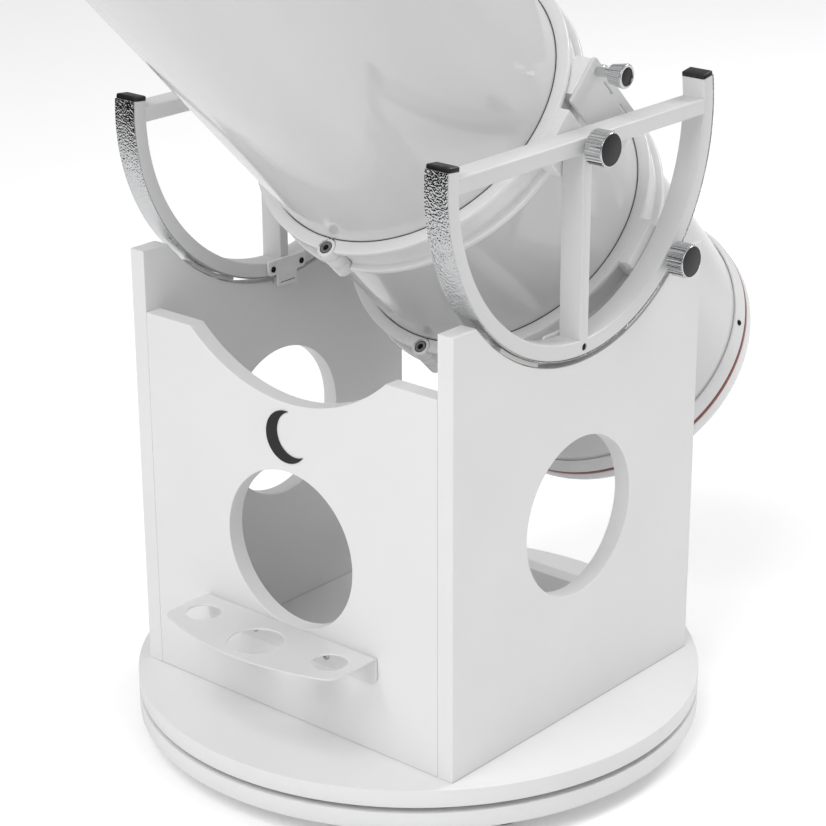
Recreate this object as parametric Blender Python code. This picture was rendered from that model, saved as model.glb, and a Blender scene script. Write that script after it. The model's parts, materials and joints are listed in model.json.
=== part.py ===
"""Dobsonian reflector: a 10 inch Newtonian tube carried by two half-ring altitude frames in a rocker box.

World frame: origin on the floor under the azimuth axis, +X along the altitude axis, -Y towards the front
board, +Z up. Metres. Tube parts are modelled with local +Z up the optical axis, local X as world X and local
Y as the tube's upper side, then tilted to the rest altitude.
"""

import math

import bmesh
import bpy
from mathutils import Matrix, Vector

# ---------------------------------------------------------------- driving dimensions
GAP = 0.0003  # clearance between pieces that touch
BOARD_T = 0.018  # laminated board
DISC_R = 0.2865  # both base discs
FOOT_H = 0.020
DISC_GAP = 0.006  # room for the azimuth bearing
GROUND_Z = FOOT_H
TURN_Z = GROUND_Z + BOARD_T + DISC_GAP
BOX_Z = TURN_Z + BOARD_T  # top of the turntable
BOX_HALF_W = 0.202  # outer face of a side board
BOX_HALF_D = 0.187
SIDE_TOP = 0.499
FRONT_TOP = 0.438
FRONT_ARC = (0.573, 0.183)  # height of centre, radius
FRONT_HOLE = (0.2406, 0.080)
SIDE_HOLE = (0.2708, 0.080)
STRETCHER_TOP = 0.100

ALT_Z = 0.6288  # altitude axis height
REST_ALT = 45.0  # tube elevation at rest, degrees
CRADLE_R = 0.2022  # cut-out in the side boards
BAND_R = 0.1966  # outside of the bearing band
FRAME_RO, FRAME_RI = 0.1955, 0.1805
FRAME_X0, FRAME_X1 = 0.1773, 0.2033
FRAME_FRONT, FRAME_REAR = -95.3, 99.5  # ends of the half ring, degrees from straight down
BAR_Z = (-0.0038, 0.0112)  # cross bar, from the altitude axis
FRAME_KNOB_R = 0.188  # lower knob, along the tube axis
BAR_KNOB_Z = 0.0030  # upper knob, above the altitude axis

TUBE_R, TUBE_WALL = 0.153, 0.0015
TUBE_S = (-0.4400, 0.7220)
TUBE_N = 48
RING_RI, RING_RO, RING_FLOOR = 0.1534, 0.1660, 0.1585
RING_HALF, FLANGE_T = 0.0186, 0.006
RING_S = (0.0, -0.188)
HINGE_V, HINGE_R = 0.1635, 0.0095
CLAMP_V = 0.1770

FOCUS_S, FOCUS_ANGLE = 0.628, 45.0
FINDER_S, FINDER_ANGLE = 0.590, 92.0

OTA = Matrix.Translation((0, 0, ALT_Z)) @ Matrix.Rotation(math.radians(REST_ALT), 4, "X")
AXIS = Matrix.Translation((0, 0, ALT_Z))


# ---------------------------------------------------------------- scene and material helpers
def clear_scene():
    for obj in list(bpy.data.objects):
        bpy.data.objects.remove(obj, do_unlink=True)


def material(name, colour, metallic=0.0, roughness=0.5):
    """A Principled material, made once per name."""
    mat = bpy.data.materials.get(name) or bpy.data.materials.new(name)
    mat.use_nodes = True
    shader = mat.node_tree.nodes["Principled BSDF"]
    shader.inputs["Base Color"].default_value = (*colour, 1.0)
    shader.inputs["Metallic"].default_value = metallic
    shader.inputs["Roughness"].default_value = roughness
    return mat


def solid(name, bm):
    """A mesh object from a bmesh, with its faces pointing out."""
    bmesh.ops.recalc_face_normals(bm, faces=bm.faces)
    mesh = bpy.data.meshes.new(name)
    bm.to_mesh(mesh)
    bm.free()
    obj = bpy.data.objects.new(name, mesh)
    bpy.context.scene.collection.objects.link(obj)
    return obj


def merge(target, tools, operation):
    """Applies Boolean operations to target and removes the tools."""
    for tool in tools:
        step = target.modifiers.new("step", "BOOLEAN")
        step.operation, step.solver, step.object = operation, "EXACT", tool
        graph = bpy.context.evaluated_depsgraph_get()
        graph.update()
        mesh = bpy.data.meshes.new_from_object(target.evaluated_get(graph))
        target.modifiers.clear()
        target.data = mesh
        bpy.data.objects.remove(tool, do_unlink=True)
    return target


def join(target, *tools):
    return merge(target, tools, "UNION")


def cut(target, *tools):
    return merge(target, tools, "DIFFERENCE")


def finish(obj, name, mat, place=None, smooth=True):
    """Names a finished piece, gives it its material and puts it in its place."""
    obj.name = obj.data.name = name
    obj.data.materials.clear()
    obj.data.materials.append(mat)
    if place is not None:
        obj.matrix_world = place
    if smooth:
        obj.data.shade_smooth()
        obj.data.set_sharp_from_angle(angle=math.radians(35))
    return obj


# ---------------------------------------------------------------- shape helpers
def box(x, y, z):
    bm = bmesh.new()
    corners = [bm.verts.new((i, j, k)) for i in x for j in y for k in z]
    for face in ((0, 1, 3, 2), (4, 6, 7, 5), (0, 4, 5, 1), (2, 3, 7, 6), (0, 2, 6, 4), (1, 5, 7, 3)):
        bm.faces.new([corners[i] for i in face])
    return solid("box", bm)


def prism(outline, low, high):
    """Extrudes an XY outline from z = low to z = high."""
    bm = bmesh.new()
    rings = [[bm.verts.new((x, y, z)) for x, y in outline] for z in (low, high)]
    count = len(outline)
    for i in range(count):
        j = (i + 1) % count
        bm.faces.new((rings[0][i], rings[0][j], rings[1][j], rings[1][i]))
    bm.faces.new(rings[0])
    bm.faces.new(rings[1])
    return solid("prism", bm)


def lathe(profile, count, knurl=0.0, knurled=()):
    """Turns (radius, z) points round Z. Points on the axis close it; otherwise the profile is a closed loop.

    Profile points whose index is in knurled have every second vertex drawn in by knurl.
    """
    bm = bmesh.new()
    rings = []
    for index, (radius, z) in enumerate(profile):
        if radius == 0:
            rings.append([bm.verts.new((0, 0, z))])
            continue
        ring = []
        for i in range(count):
            r = radius - (knurl if index in knurled and i % 2 else 0.0)
            turn = 2 * math.pi * i / count
            ring.append(bm.verts.new((r * math.cos(turn), r * math.sin(turn), z)))
        rings.append(ring)
    looped = len(rings[0]) > 1 and len(rings[-1]) > 1
    pairs = list(zip(rings, rings[1:])) + ([(rings[-1], rings[0])] if looped else [])
    for a, b in pairs:
        for i in range(count):
            j = (i + 1) % count
            face = [a[i % len(a)], a[j % len(a)], b[j % len(b)], b[i % len(b)]]
            bm.faces.new(list(dict.fromkeys(face)))
    return solid("lathe", bm)


def rod(radius, low, high, count=24, centre=(0, 0), axis="Z"):
    """A cylinder along an axis. Centre gives its two other coordinates, in X, Y, Z order."""
    obj = lathe([(0, low), (radius, low), (radius, high), (0, high)], count)
    if axis == "X":
        turn = Matrix.Rotation(math.radians(90), 4, "Y")
        shift = Matrix.Translation((0, centre[0], centre[1]))
    elif axis == "Y":
        turn = Matrix.Rotation(math.radians(-90), 4, "X")
        shift = Matrix.Translation((centre[0], 0, centre[1]))
    else:
        turn, shift = Matrix(), Matrix.Translation((centre[0], centre[1], 0))
    obj.data.transform(shift @ turn)
    return obj


def moved(obj, matrix):
    obj.data.transform(matrix)
    return obj


def arc_bar(inner, outer, x, start, end, count):
    """A rectangular bar bent round the X axis; angles are from straight down, positive towards +Y."""
    bm = bmesh.new()
    rings = []
    for i in range(count + 1):
        turn = math.radians(start + (end - start) * i / count)
        ring = []
        for radius, side in ((inner, x[0]), (inner, x[1]), (outer, x[1]), (outer, x[0])):
            ring.append(bm.verts.new((side, radius * math.sin(turn), -radius * math.cos(turn))))
        rings.append(ring)
    for a, b in zip(rings, rings[1:]):
        for k in range(4):
            bm.faces.new((a[k], a[(k + 1) % 4], b[(k + 1) % 4], b[k]))
    bm.faces.new(rings[0])
    bm.faces.new(rings[-1])
    return solid("arc", bm)


def sector(profile, start, end, count):
    """A (radius, z) outline swept round Z from start to end, in degrees from +X, with flat ends."""
    bm = bmesh.new()
    rings = []
    for i in range(count + 1):
        turn = math.radians(start + (end - start) * i / count)
        rings.append([bm.verts.new((r * math.cos(turn), r * math.sin(turn), z)) for r, z in profile])
    size = len(profile)
    for a, b in zip(rings, rings[1:]):
        for k in range(size):
            bm.faces.new((a[k], a[(k + 1) % size], b[(k + 1) % size], b[k]))
    bm.faces.new(rings[0])
    bm.faces.new(rings[-1])
    return solid("sector", bm)


def span(side, low, high):
    """An X range on the right (side 1) or left (side -1)."""
    return (low, high) if side > 0 else (-high, -low)


def radial_frame(angle, s):
    """Tube-local frame on the tube's surface side: local Z points out at angle, local Y runs up the tube."""
    out = Vector((math.cos(math.radians(angle)), math.sin(math.radians(angle)), 0))
    up = Vector((0, 0, 1))
    across = up.cross(out)
    turn = Matrix((across, up, out)).transposed().to_4x4()
    return Matrix.Translation((0, 0, s)) @ turn


# ---------------------------------------------------------------- base
def disc_profile(hole, low):
    """Section of a round board with a centre hole and slightly broken edges."""
    edge, high = 0.0008, low + BOARD_T
    rim = [(DISC_R - edge, low), (DISC_R, low + edge), (DISC_R, high - edge), (DISC_R - edge, high)]
    return [(hole, low)] + rim + [(hole, high)]


def ground_board(mat):
    finish(lathe(disc_profile(0.0053, GROUND_Z), 56), "ground_board", mat)


def feet(mat):
    """Three rubber feet, each with a recess for its screw."""
    high = GROUND_Z - GAP
    profile = [(0, 0.006), (0.006, 0.006), (0.006, 0), (0.0165, 0), (0.019, 0.003), (0.021, high), (0, high)]
    for name, turn in (("foot_rear", 90), ("foot_left", 210), ("foot_right", 330)):
        x, y = 0.240 * math.cos(math.radians(turn)), 0.240 * math.sin(math.radians(turn))
        finish(lathe(profile, 14), name, mat, Matrix.Translation((x, y, 0)))


def azimuth_bearing(mat):
    """Flat ring of rollers between the two discs."""
    low, high = GROUND_Z + BOARD_T + GAP, TURN_Z - GAP
    finish(lathe([(0.165, low), (0.205, low), (0.205, high), (0.165, high)], 36), "azimuth_bearing", mat)


def pivot(steel, plastic):
    head = lathe([(0, 0.0125), (0.0100, 0.0125), (0.0100, GROUND_Z - GAP), (0, GROUND_Z - GAP)], 6)
    shank = rod(0.0050, GROUND_Z - 0.002, 0.0900, 12)
    finish(join(head, shank), "pivot_bolt", steel)
    low = BOX_Z + GAP
    profile = [
        (0.0054, low), (0.013, low), (0.013, low + 0.005), (0.021, low + 0.006),
        (0.021, low + 0.018), (0.018, low + 0.020), (0.0054, low + 0.020),
    ]
    finish(lathe(profile, 16, 0.002, (3, 4)), "pivot_knob", plastic)


# ---------------------------------------------------------------- rocker box
def turntable_board(mat):
    finish(lathe(disc_profile(0.0055, TURN_Z), 56), "turntable_board", mat)


def side_board(side, name, mat):
    """Side of the rocker box: an arc at the top for the altitude frame and one round hand hole."""
    x = span(side, BOX_HALF_W - BOARD_T, BOX_HALF_W)
    board = box(x, (-BOX_HALF_D, BOX_HALF_D), (BOX_Z + GAP, SIDE_TOP))
    reach = (x[0] - 0.01, x[1] + 0.01)
    cradle = rod(CRADLE_R, *reach, count=80, centre=(0, ALT_Z), axis="X")
    hole = rod(SIDE_HOLE[1], *reach, count=36, centre=(0, SIDE_HOLE[0]), axis="X")
    finish(cut(board, cradle, hole), name, mat)


def front_board(mat):
    half = BOX_HALF_W - BOARD_T - GAP
    y = (-BOX_HALF_D, -BOX_HALF_D + BOARD_T)
    board = box((-half, half), y, (BOX_Z + GAP, FRONT_TOP))
    reach = (y[0] - 0.01, y[1] + 0.01)
    arc = rod(FRONT_ARC[1], *reach, count=64, centre=(0, FRONT_ARC[0]), axis="Y")
    hole = rod(FRONT_HOLE[1], *reach, count=36, centre=(0, FRONT_HOLE[0]), axis="Y")
    finish(cut(board, arc, hole), "front_board", mat)


def rear_stretcher(mat):
    half = BOX_HALF_W - BOARD_T - GAP
    stretcher = box((-half, half), (BOX_HALF_D - BOARD_T, BOX_HALF_D), (BOX_Z + GAP, STRETCHER_TOP))
    finish(stretcher, "rear_stretcher", mat)


def altitude_pads(mat):
    """Four low-friction pads in the cut-outs, two under each frame."""
    middle = BOX_HALF_W - BOARD_T / 2
    for side, word in ((1, "right"), (-1, "left")):
        for end, place in ((-1, "front"), (1, "rear")):
            across = span(side, middle - 0.008, middle + 0.008)
            pad = arc_bar(0.1970, 0.2018, across, end * 19.4, end * 37.2, 6)
            finish(pad, f"altitude_pad_{word}_{place}", mat, AXIS)


def tray_outline():
    """Shelf outline: straight at the board, bowed at the front, rounded at the two front corners."""
    half, back = 0.111, -BOX_HALF_D - GAP
    front = [(x, -0.2720 + 0.0185 * (x / 0.0985) ** 2) for x in (0.0985, 0.082, 0.062, 0.042, 0.021, 0.0)]
    corner = [(half, -0.2400), (half - 0.0016, -0.2455), (half - 0.0060, -0.2505)]
    right = [(half, back)] + corner + front
    left = [(-x, y) for x, y in reversed(right[:-1])]
    return right + left


def eyepiece_tray(mat):
    """Bent sheet shelf with one wide and two narrow eyepiece holes, and a screwed flange behind."""
    face, sheet, top = -BOX_HALF_D - GAP, 0.0018, 0.1631
    shelf = prism(tray_outline(), top - sheet, top)
    for x, y, r in ((-0.083, -0.223, 0.017), (0.0, -0.2352, 0.027), (0.083, -0.223, 0.017)):
        cut(shelf, rod(r, 0.15, 0.18, 20, (x, y)))
    low, half, r = 0.1336, 0.111, 0.010
    outline = [(-half, top - 0.0002), (-half, low + r)]
    for turn in (30, 60, 90):
        a = math.radians(turn)
        outline.append((-half + r - r * math.cos(a), low + r - r * math.sin(a)))
    outline += [(-x, z) for x, z in reversed(outline)]
    flange = moved(prism(outline, -face, -face + sheet), Matrix.Rotation(math.radians(90), 4, "X"))
    tray = join(shelf, flange)
    for x in (-0.047, 0.047):
        tray = join(tray, rod(0.0042, face - sheet - 0.0020, face - 0.0006, 10, (x, 0.145), "Y"))
    finish(tray, "eyepiece_tray", mat)


def front_emblem(mat):
    """Printed crescent on the front board."""
    face = BOX_HALF_D + GAP
    moon = rod(0.0260, -face - 0.0006, -face, 28, (0, 0), "Y")
    bite = rod(0.0225, -face - 0.01, -face + 0.01, 28, (0.0105, 0.0045), "Y")
    finish(moved(cut(moon, bite), Matrix.Translation((0, 0, 0.3560))), "front_emblem", mat)


# ---------------------------------------------------------------- altitude frames
def altitude_frame(side, name, mat):
    """Half ring of rectangular tube with a welded cross bar and a post, drilled for its two knobs."""
    x = span(side, FRAME_X0, FRAME_X1)
    inset = (x[0] + 0.0003, x[1] - 0.0003)
    ring = arc_bar(FRAME_RI, FRAME_RO, x, FRAME_FRONT, FRAME_REAR, 40)
    bar = box(inset, (-0.1865, 0.1865), BAR_Z)
    post = box((inset[0] + 0.0002, inset[1] - 0.0002), (-0.006, 0.006), (-0.1860, 0.0))
    frame = join(ring, bar, post)
    diagonal = FRAME_KNOB_R * math.sqrt(0.5)
    for y, z in ((0, BAR_KNOB_Z), (diagonal, -diagonal)):
        frame = cut(frame, rod(0.0045, x[0] - 0.01, x[1] + 0.01, 12, (y, z), "X"))
    foot = span(side, FRAME_X1 - 0.006, FRAME_X1 + 0.01)
    frame = cut(frame, rod(0.0035, *foot, 12, (0, -0.1880), "X"))
    finish(frame, name, mat, AXIS)


def bearing_band(side, name, mat):
    """Hammered metal strip round the outside of a frame."""
    x = span(side, FRAME_X0, FRAME_X1)
    band = arc_bar(FRAME_RO + 0.0003, BAND_R, x, FRAME_FRONT, FRAME_REAR, 40)
    finish(band, name, mat, AXIS)


def end_caps(mat):
    """Plastic plugs on the open ends of the frames' tube, slightly domed."""
    for side, word in ((1, "right"), (-1, "left")):
        x = span(side, FRAME_X0, FRAME_X1)
        for turn, place in ((FRAME_FRONT, "front"), (FRAME_REAR, "rear")):
            sign = math.copysign(1, turn)
            bm = bmesh.new()
            rows = []
            for lift, shrink in ((0.0003, 0.0), (0.0028, 0.0), (0.0046, 0.004)):
                row = []
                for r, i in ((FRAME_RI, 0), (FRAME_RI, 1), (FRAME_RO, 1), (FRAME_RO, 0)):
                    radius = r + (shrink if r == FRAME_RI else -shrink)
                    across = x[i] + (shrink if i == 0 else -shrink)
                    angle = math.radians(turn) + sign * lift / 0.188
                    row.append(bm.verts.new((across, radius * math.sin(angle), -radius * math.cos(angle))))
                rows.append(row)
            for a, b in zip(rows, rows[1:]):
                for k in range(4):
                    bm.faces.new((a[k], a[(k + 1) % 4], b[(k + 1) % 4], b[k]))
            bm.faces.new(rows[0])
            bm.faces.new(rows[-1])
            finish(solid("cap", bm), f"end_cap_{word}_{place}", mat, AXIS, smooth=False)


def guide_plate(side, name, mat):
    """T-shaped plate on a frame's inner face; its foot rides on the inside of the side board."""
    outline = [(-0.027, -0.1775), (-0.027, -0.1930), (-0.0145, -0.1940), (-0.0145, -0.2050)]
    outline.append((-0.0125, -0.2070))
    outline += [(-y, z) for y, z in reversed(outline)]
    turn = Matrix(((0, 0, 1, 0), (1, 0, 0, 0), (0, 1, 0, 0), (0, 0, 0, 1)))
    x = span(side, FRAME_X0 - GAP - 0.003, FRAME_X0 - GAP)
    plate = moved(prism(outline, *x), turn)
    shoe = span(side, FRAME_X0 - 0.0010, BOX_HALF_W - BOARD_T - GAP)
    plate = join(plate, box(shoe, (-0.0115, 0.0115), (-0.2060, -0.1985)))
    screws = span(side, FRAME_X0 - GAP - 0.0045, FRAME_X0 - GAP - 0.001)
    for y in (-0.0205, 0.0205):
        plate = join(plate, rod(0.0034, *screws, 10, (y, -0.1865), "X"))
    finish(plate, name, mat, AXIS)


# ---------------------------------------------------------------- tube rings
def ring_profile():
    """Channel section of a tube ring: a thin floor between two flanges."""
    h, t = RING_HALF, FLANGE_T
    return [
        (RING_RI, -h), (RING_RO, -h), (RING_RO, -h + t), (RING_FLOOR, -h + t),
        (RING_FLOOR, h - t), (RING_RO, h - t), (RING_RO, h), (RING_RI, h),
    ]


def tube_ring(side, s, rail, name, mat):
    """Half of a tube ring: pad for the frame's knob, hinge knuckles below and a clamp lug above."""
    start, end = (-89.2, 89.2) if side > 0 else (90.8, 269.2)
    half = sector(ring_profile(), start, end, 26)
    knuckles = ((-0.0062, 0.0062),) if side > 0 else ((-RING_HALF, -0.0066), (0.0066, RING_HALF))
    free = ((-RING_HALF - 0.001, -0.0062), (0.0062, RING_HALF + 0.001)) if side > 0 else ((-0.0066, 0.0066),)
    half = cut(half, *[rod(HINGE_R + 0.0008, *z, 14, (0, -HINGE_V)) for z in free])
    half = join(half, *[rod(HINGE_R, *z, 14, (0, -HINGE_V)) for z in knuckles])
    if side > 0:
        half = join(half, rod(0.0042, -0.0150, 0.0150, 10, (0, -HINGE_V)))
    else:
        half = cut(half, rod(0.0047, -0.03, 0.03, 10, (0, -HINGE_V)))
    inset = RING_HALF - 0.0004
    half = join(half, box(span(side, 0.1560, FRAME_X0 - GAP), (-0.025, 0.025), (-inset, inset)))
    half = join(half, box(span(side, 0.0020, 0.0110), (0.1545, 0.1850), (-0.0115, 0.0115)))
    half = cut(half, rod(0.0034, *span(side, -0.01, 0.03), 10, (CLAMP_V, 0), "X"))
    if rail:
        half = join(half, box(span(side, 0.1478, 0.1655), (0.0440, 0.0840), (-0.0118, 0.0118)))
        half = cut(half, rod(0.0036, *span(side, 0.1560, 0.18), 10, (0.0780, 0), "X"))
    bolt = Matrix.Rotation(math.radians(-REST_ALT), 3, "X") @ Vector((0, 0, BAR_KNOB_Z if s == 0 else 0))
    half = cut(half, rod(0.0045, *span(side, 0.1640, 0.19), 12, (bolt.y, bolt.z), "X"))
    finish(half, name, mat, OTA @ Matrix.Translation((0, 0, s)))


def side_rail(mat):
    """Flat plate that hangs from the upper right ring half, with two slots near its upper edge."""
    x = (0.1658, 0.1698)
    rail = box(x, (0.0360, 0.0860), (-0.0880, 0.0120))
    for low, high in ((-0.0350, -0.0160), (-0.0710, -0.0520)):
        rail = cut(rail, box((x[0] - 0.01, x[1] + 0.01), (0.0755, 0.0780), (low, high)))
    rail = cut(rail, rod(0.0045, x[0] - 0.01, x[1] + 0.01, 12, (0.0780, 0), "X"))
    finish(rail, "side_rail", mat, OTA)


# ---------------------------------------------------------------- knobs
def knob_x(profile, side, name, mat, place, knurled):
    """A turned knob whose local Z, away from the tube, becomes world X on its side."""
    turn = Matrix.Rotation(math.radians(90 * side), 4, "Y")
    finish(lathe(profile, 20, 0.0008, knurled), name, mat, place @ turn)


def frame_knobs(mat):
    """Four large knobs that bolt the frames to the ring pads."""
    shank, neck, head = FRAME_X0 - 0.010, FRAME_X1 + GAP, FRAME_X1 + 0.0055
    end = FRAME_X1 + 0.0250
    profile = [
        (0, shank), (0.0040, shank), (0.0040, neck), (0.0078, neck), (0.0078, head),
        (0.0140, head), (0.0166, head + 0.005), (0.0166, end - 0.001), (0.0158, end), (0, end),
    ]
    diagonal = FRAME_KNOB_R * math.sqrt(0.5)
    for side, word in ((1, "right"), (-1, "left")):
        for (y, z), place in (((0, BAR_KNOB_Z), "upper"), ((diagonal, -diagonal), "lower")):
            where = Matrix.Translation((0, y, ALT_Z + z))
            knob_x(profile, side, f"frame_knob_{word}_{place}", mat, where, (6, 7))


def clamp_knobs(mat):
    """Thumb screw through the two lugs on top of each tube ring."""
    profile = [
        (0, -0.0160), (0.0030, -0.0160), (0.0030, 0.0113), (0.0060, 0.0113), (0.0060, 0.0150),
        (0.0105, 0.0160), (0.0115, 0.0270), (0.0105, 0.0280), (0, 0.0280),
    ]
    for s, word in zip(RING_S, ("upper", "lower")):
        where = OTA @ Matrix.Translation((0, CLAMP_V, s))
        knob_x(profile, 1, f"clamp_knob_{word}", mat, where, (5, 6))


def rail_knob(mat):
    """Thumb screw with a flared head, through the rail into the upper ring."""
    profile = [
        (0, 0.1575), (0.0031, 0.1575), (0.0031, 0.1701), (0.0040, 0.1701), (0.0040, 0.1840),
        (0.0082, 0.1845), (0.0122, 0.2020), (0.0112, 0.2032), (0, 0.2032),
    ]
    knob_x(profile, 1, "rail_knob", mat, OTA @ Matrix.Translation((0, 0.0780, 0)), (5, 6))


# ---------------------------------------------------------------- optical tube
def tube(mat):
    inner = TUBE_R - TUBE_WALL
    shell = lathe([(inner, TUBE_S[0]), (TUBE_R, TUBE_S[0]), (TUBE_R, TUBE_S[1]), (inner, TUBE_S[1])], TUBE_N)
    port = moved(rod(0.0300, 0.10, 0.20, 24), radial_frame(FOCUS_ANGLE, FOCUS_S))
    finish(cut(shell, port), "tube", mat, OTA)


def front_ring(mat):
    profile = [
        (0.1534, 0.7155), (0.1562, 0.7155), (0.1562, 0.7340), (0.1540, 0.7370),
        (0.1480, 0.7370), (0.1455, 0.7345), (0.1455, 0.7225), (0.1534, 0.7225),
    ]
    finish(lathe(profile, TUBE_N), "front_ring", mat, OTA)


def rear_cell(mat):
    """Cast ring round the tube's rear end, with three arms behind the mirror."""
    profile = [
        (0.1534, -0.4248), (0.1556, -0.4248), (0.1590, -0.4380), (0.1598, -0.4402), (0.1584, -0.4402),
        (0.1584, -0.4452), (0.1598, -0.4452), (0.1598, -0.4560), (0.1575, -0.4620), (0.1530, -0.4640),
        (0.1455, -0.4640), (0.1455, -0.4403), (0.1534, -0.4403),
    ]
    cell = lathe(profile, TUBE_N)
    web = rod(0.0340, -0.4560, -0.4460, 18)
    for turn in (30, 150, 270):
        arm = box((0.020, 0.1490), (-0.013, 0.013), (-0.4555, -0.4465))
        web = join(web, moved(arm, Matrix.Rotation(math.radians(turn), 4, "Z")))
    web = cut(web, rod(0.0150, -0.47, -0.43, 12))
    for turn in (30, 150, 270):
        x, y = 0.098 * math.cos(math.radians(turn)), 0.098 * math.sin(math.radians(turn))
        web = cut(web, rod(0.0046, -0.47, -0.43, 10, (x, y)))
    finish(join(cell, web), "rear_cell", mat, OTA)


def pinstripe(mat):
    profile = [(0.1587, -0.4449), (0.1598, -0.4449), (0.1598, -0.4405), (0.1587, -0.4405)]
    finish(lathe(profile, TUBE_N), "pinstripe", mat, OTA)


def primary_mirror(mat):
    """254 mm concave mirror of 1270 mm focal length."""
    edge, back, radius, focal = -0.3925, -0.4285, 0.127, 1.270
    curve = [(r, edge - (radius**2 - r**2) / (4 * focal)) for r in (0.1255, 0.095, 0.063, 0.032)]
    profile = [(0, back), (radius - 0.001, back), (radius, back + 0.001), (radius, edge - 0.0015)] + curve
    profile.append((0, edge - radius**2 / (4 * focal)))
    finish(lathe(profile, 36), "primary_mirror", mat, OTA)


def mirror_cell(mat):
    """Floating plate under the mirror with three retaining clips."""
    plate = lathe([(0.030, -0.4395), (0.1215, -0.4395), (0.1215, -0.4290), (0.030, -0.4290)], 28)
    for turn in (90, 210, 330):
        spin = Matrix.Rotation(math.radians(turn), 4, "Z")
        foot = moved(box((0.110, 0.1340), (-0.011, 0.011), (-0.4393, -0.4292)), spin)
        post = moved(box((0.1276, 0.1338), (-0.0105, 0.0105), (-0.4390, -0.3870)), spin)
        lip = moved(box((0.1190, 0.1336), (-0.0103, 0.0103), (-0.3916, -0.3872)), spin)
        plate = join(plate, foot, post, lip)
    finish(plate, "mirror_cell", mat, OTA)


def collimation_knobs(mat):
    profile = [
        (0, -0.4760), (0.0115, -0.4760), (0.0130, -0.4740), (0.0130, -0.4600),
        (0.0080, -0.4563), (0.0041, -0.4563), (0.0041, -0.4400), (0, -0.4400),
    ]
    for turn, word in ((30, "a"), (150, "b"), (270, "c")):
        x, y = 0.098 * math.cos(math.radians(turn)), 0.098 * math.sin(math.radians(turn))
        knob = lathe(profile, 12, 0.0012, (1, 2, 3))
        finish(knob, f"collimation_knob_{word}", mat, OTA @ Matrix.Translation((x, y, 0)))


def diagonal_slab(obj, near, far):
    """Keeps the part of obj between two planes at 45 degrees, facing the mirror and the focuser."""
    slab = box((-0.2, 0.2), (-0.2, 0.2), (near, far))
    out = Vector((math.cos(math.radians(FOCUS_ANGLE)), math.sin(math.radians(FOCUS_ANGLE)), 0))
    back = (Vector((0, 0, 1)) - out).normalized()
    side = Vector((0, 0, 1)).cross(out)
    turn = Matrix((side, back.cross(side), back)).transposed().to_4x4()
    return merge(obj, [moved(slab, Matrix.Translation((0, 0, FOCUS_S)) @ turn)], "INTERSECT")


def secondary(mat_holder, mat_glass):
    """Diagonal mirror, and the spider with its holder."""
    glass = diagonal_slab(rod(0.0315, 0.55, 0.72, 24), 0.0, 0.008)
    finish(glass, "secondary_mirror", mat_glass, OTA)
    holder = diagonal_slab(rod(0.0300, 0.55, 0.6720, 24), 0.0083, 0.15)
    spider = join(holder, rod(0.0180, 0.6690, 0.7120, 20))
    for turn in (0, 90, 180, 270):
        vane = box((0.0150, 0.1509), (-0.0006, 0.0006), (0.6820, 0.7080))
        spider = join(spider, moved(vane, Matrix.Rotation(math.radians(turn), 4, "Z")))
    finish(spider, "spider", mat_holder, OTA)


# ---------------------------------------------------------------- focuser and finder
def focuser_base(mat):
    """Saddle on the tube with a hexagonal housing, a bore and a bridge for the focus shaft."""
    place = radial_frame(FOCUS_ANGLE, FOCUS_S)
    base = box((-0.046, 0.046), (-0.046, 0.046), (0.1450, 0.1640))
    across = Matrix.Rotation(math.radians(90), 4, "X")
    base = cut(base, moved(rod(TUBE_R + 0.0004, -0.08, 0.08, TUBE_N), across))
    housing = lathe([(0, 0.1620), (0.0380, 0.1620), (0.0350, 0.2050), (0, 0.2050)], 6)
    housing = moved(housing, Matrix.Rotation(math.radians(30), 4, "Z"))
    bridge = box((-0.0310, 0.0310), (-0.0420, -0.0200), (0.1630, 0.1920))
    base = join(base, housing, bridge)
    base = cut(base, rod(0.0262, 0.10, 0.25, 28))
    base = cut(base, rod(0.0044, -0.06, 0.06, 16, (-0.0350, 0.1830), "X"))
    base = cut(base, rod(0.0026, 0.02, 0.06, 12, (0, 0.1950), "Y"))
    finish(base, "focuser_base", mat, OTA @ place)


def drawtube(mat):
    profile = [
        (0.0238, 0.1500), (0.0259, 0.1500), (0.0259, 0.2200), (0.0300, 0.2210),
        (0.0300, 0.2330), (0.0292, 0.2340), (0.0238, 0.2340),
    ]
    finish(lathe(profile, 28), "drawtube", mat, OTA @ radial_frame(FOCUS_ANGLE, FOCUS_S))


def focus_knobs(mat):
    """One shaft with a knob at each end."""
    knob = ((0.0155, 0.0340), (0.0170, 0.0360), (0.0170, 0.0480), (0.0155, 0.0500))
    profile = [(0, -0.0500)] + [(r, -z) for r, z in reversed(knob)] + [(0.0040, -0.0340), (0.0040, 0.0340)]
    profile += list(knob) + [(0, 0.0500)]
    turn = Matrix.Translation((0, -0.0350, 0.1830)) @ Matrix.Rotation(math.radians(90), 4, "Y")
    knobs = lathe(profile, 16, 0.0012, (2, 3, 8, 9))
    finish(knobs, "focus_knobs", mat, OTA @ radial_frame(FOCUS_ANGLE, FOCUS_S) @ turn)


def focus_lock(mat):
    """Lock screw in the housing's upper side."""
    profile = [
        (0, 0.0265), (0.0023, 0.0265), (0.0023, 0.0372), (0.0055, 0.0376),
        (0.0060, 0.0460), (0.0050, 0.0470), (0, 0.0470),
    ]
    turn = Matrix.Translation((0, 0, 0.1950)) @ Matrix.Rotation(math.radians(-90), 4, "X")
    screw = lathe(profile, 12, 0.0006, (3, 4))
    finish(screw, "focus_lock", mat, OTA @ radial_frame(FOCUS_ANGLE, FOCUS_S) @ turn)


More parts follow.
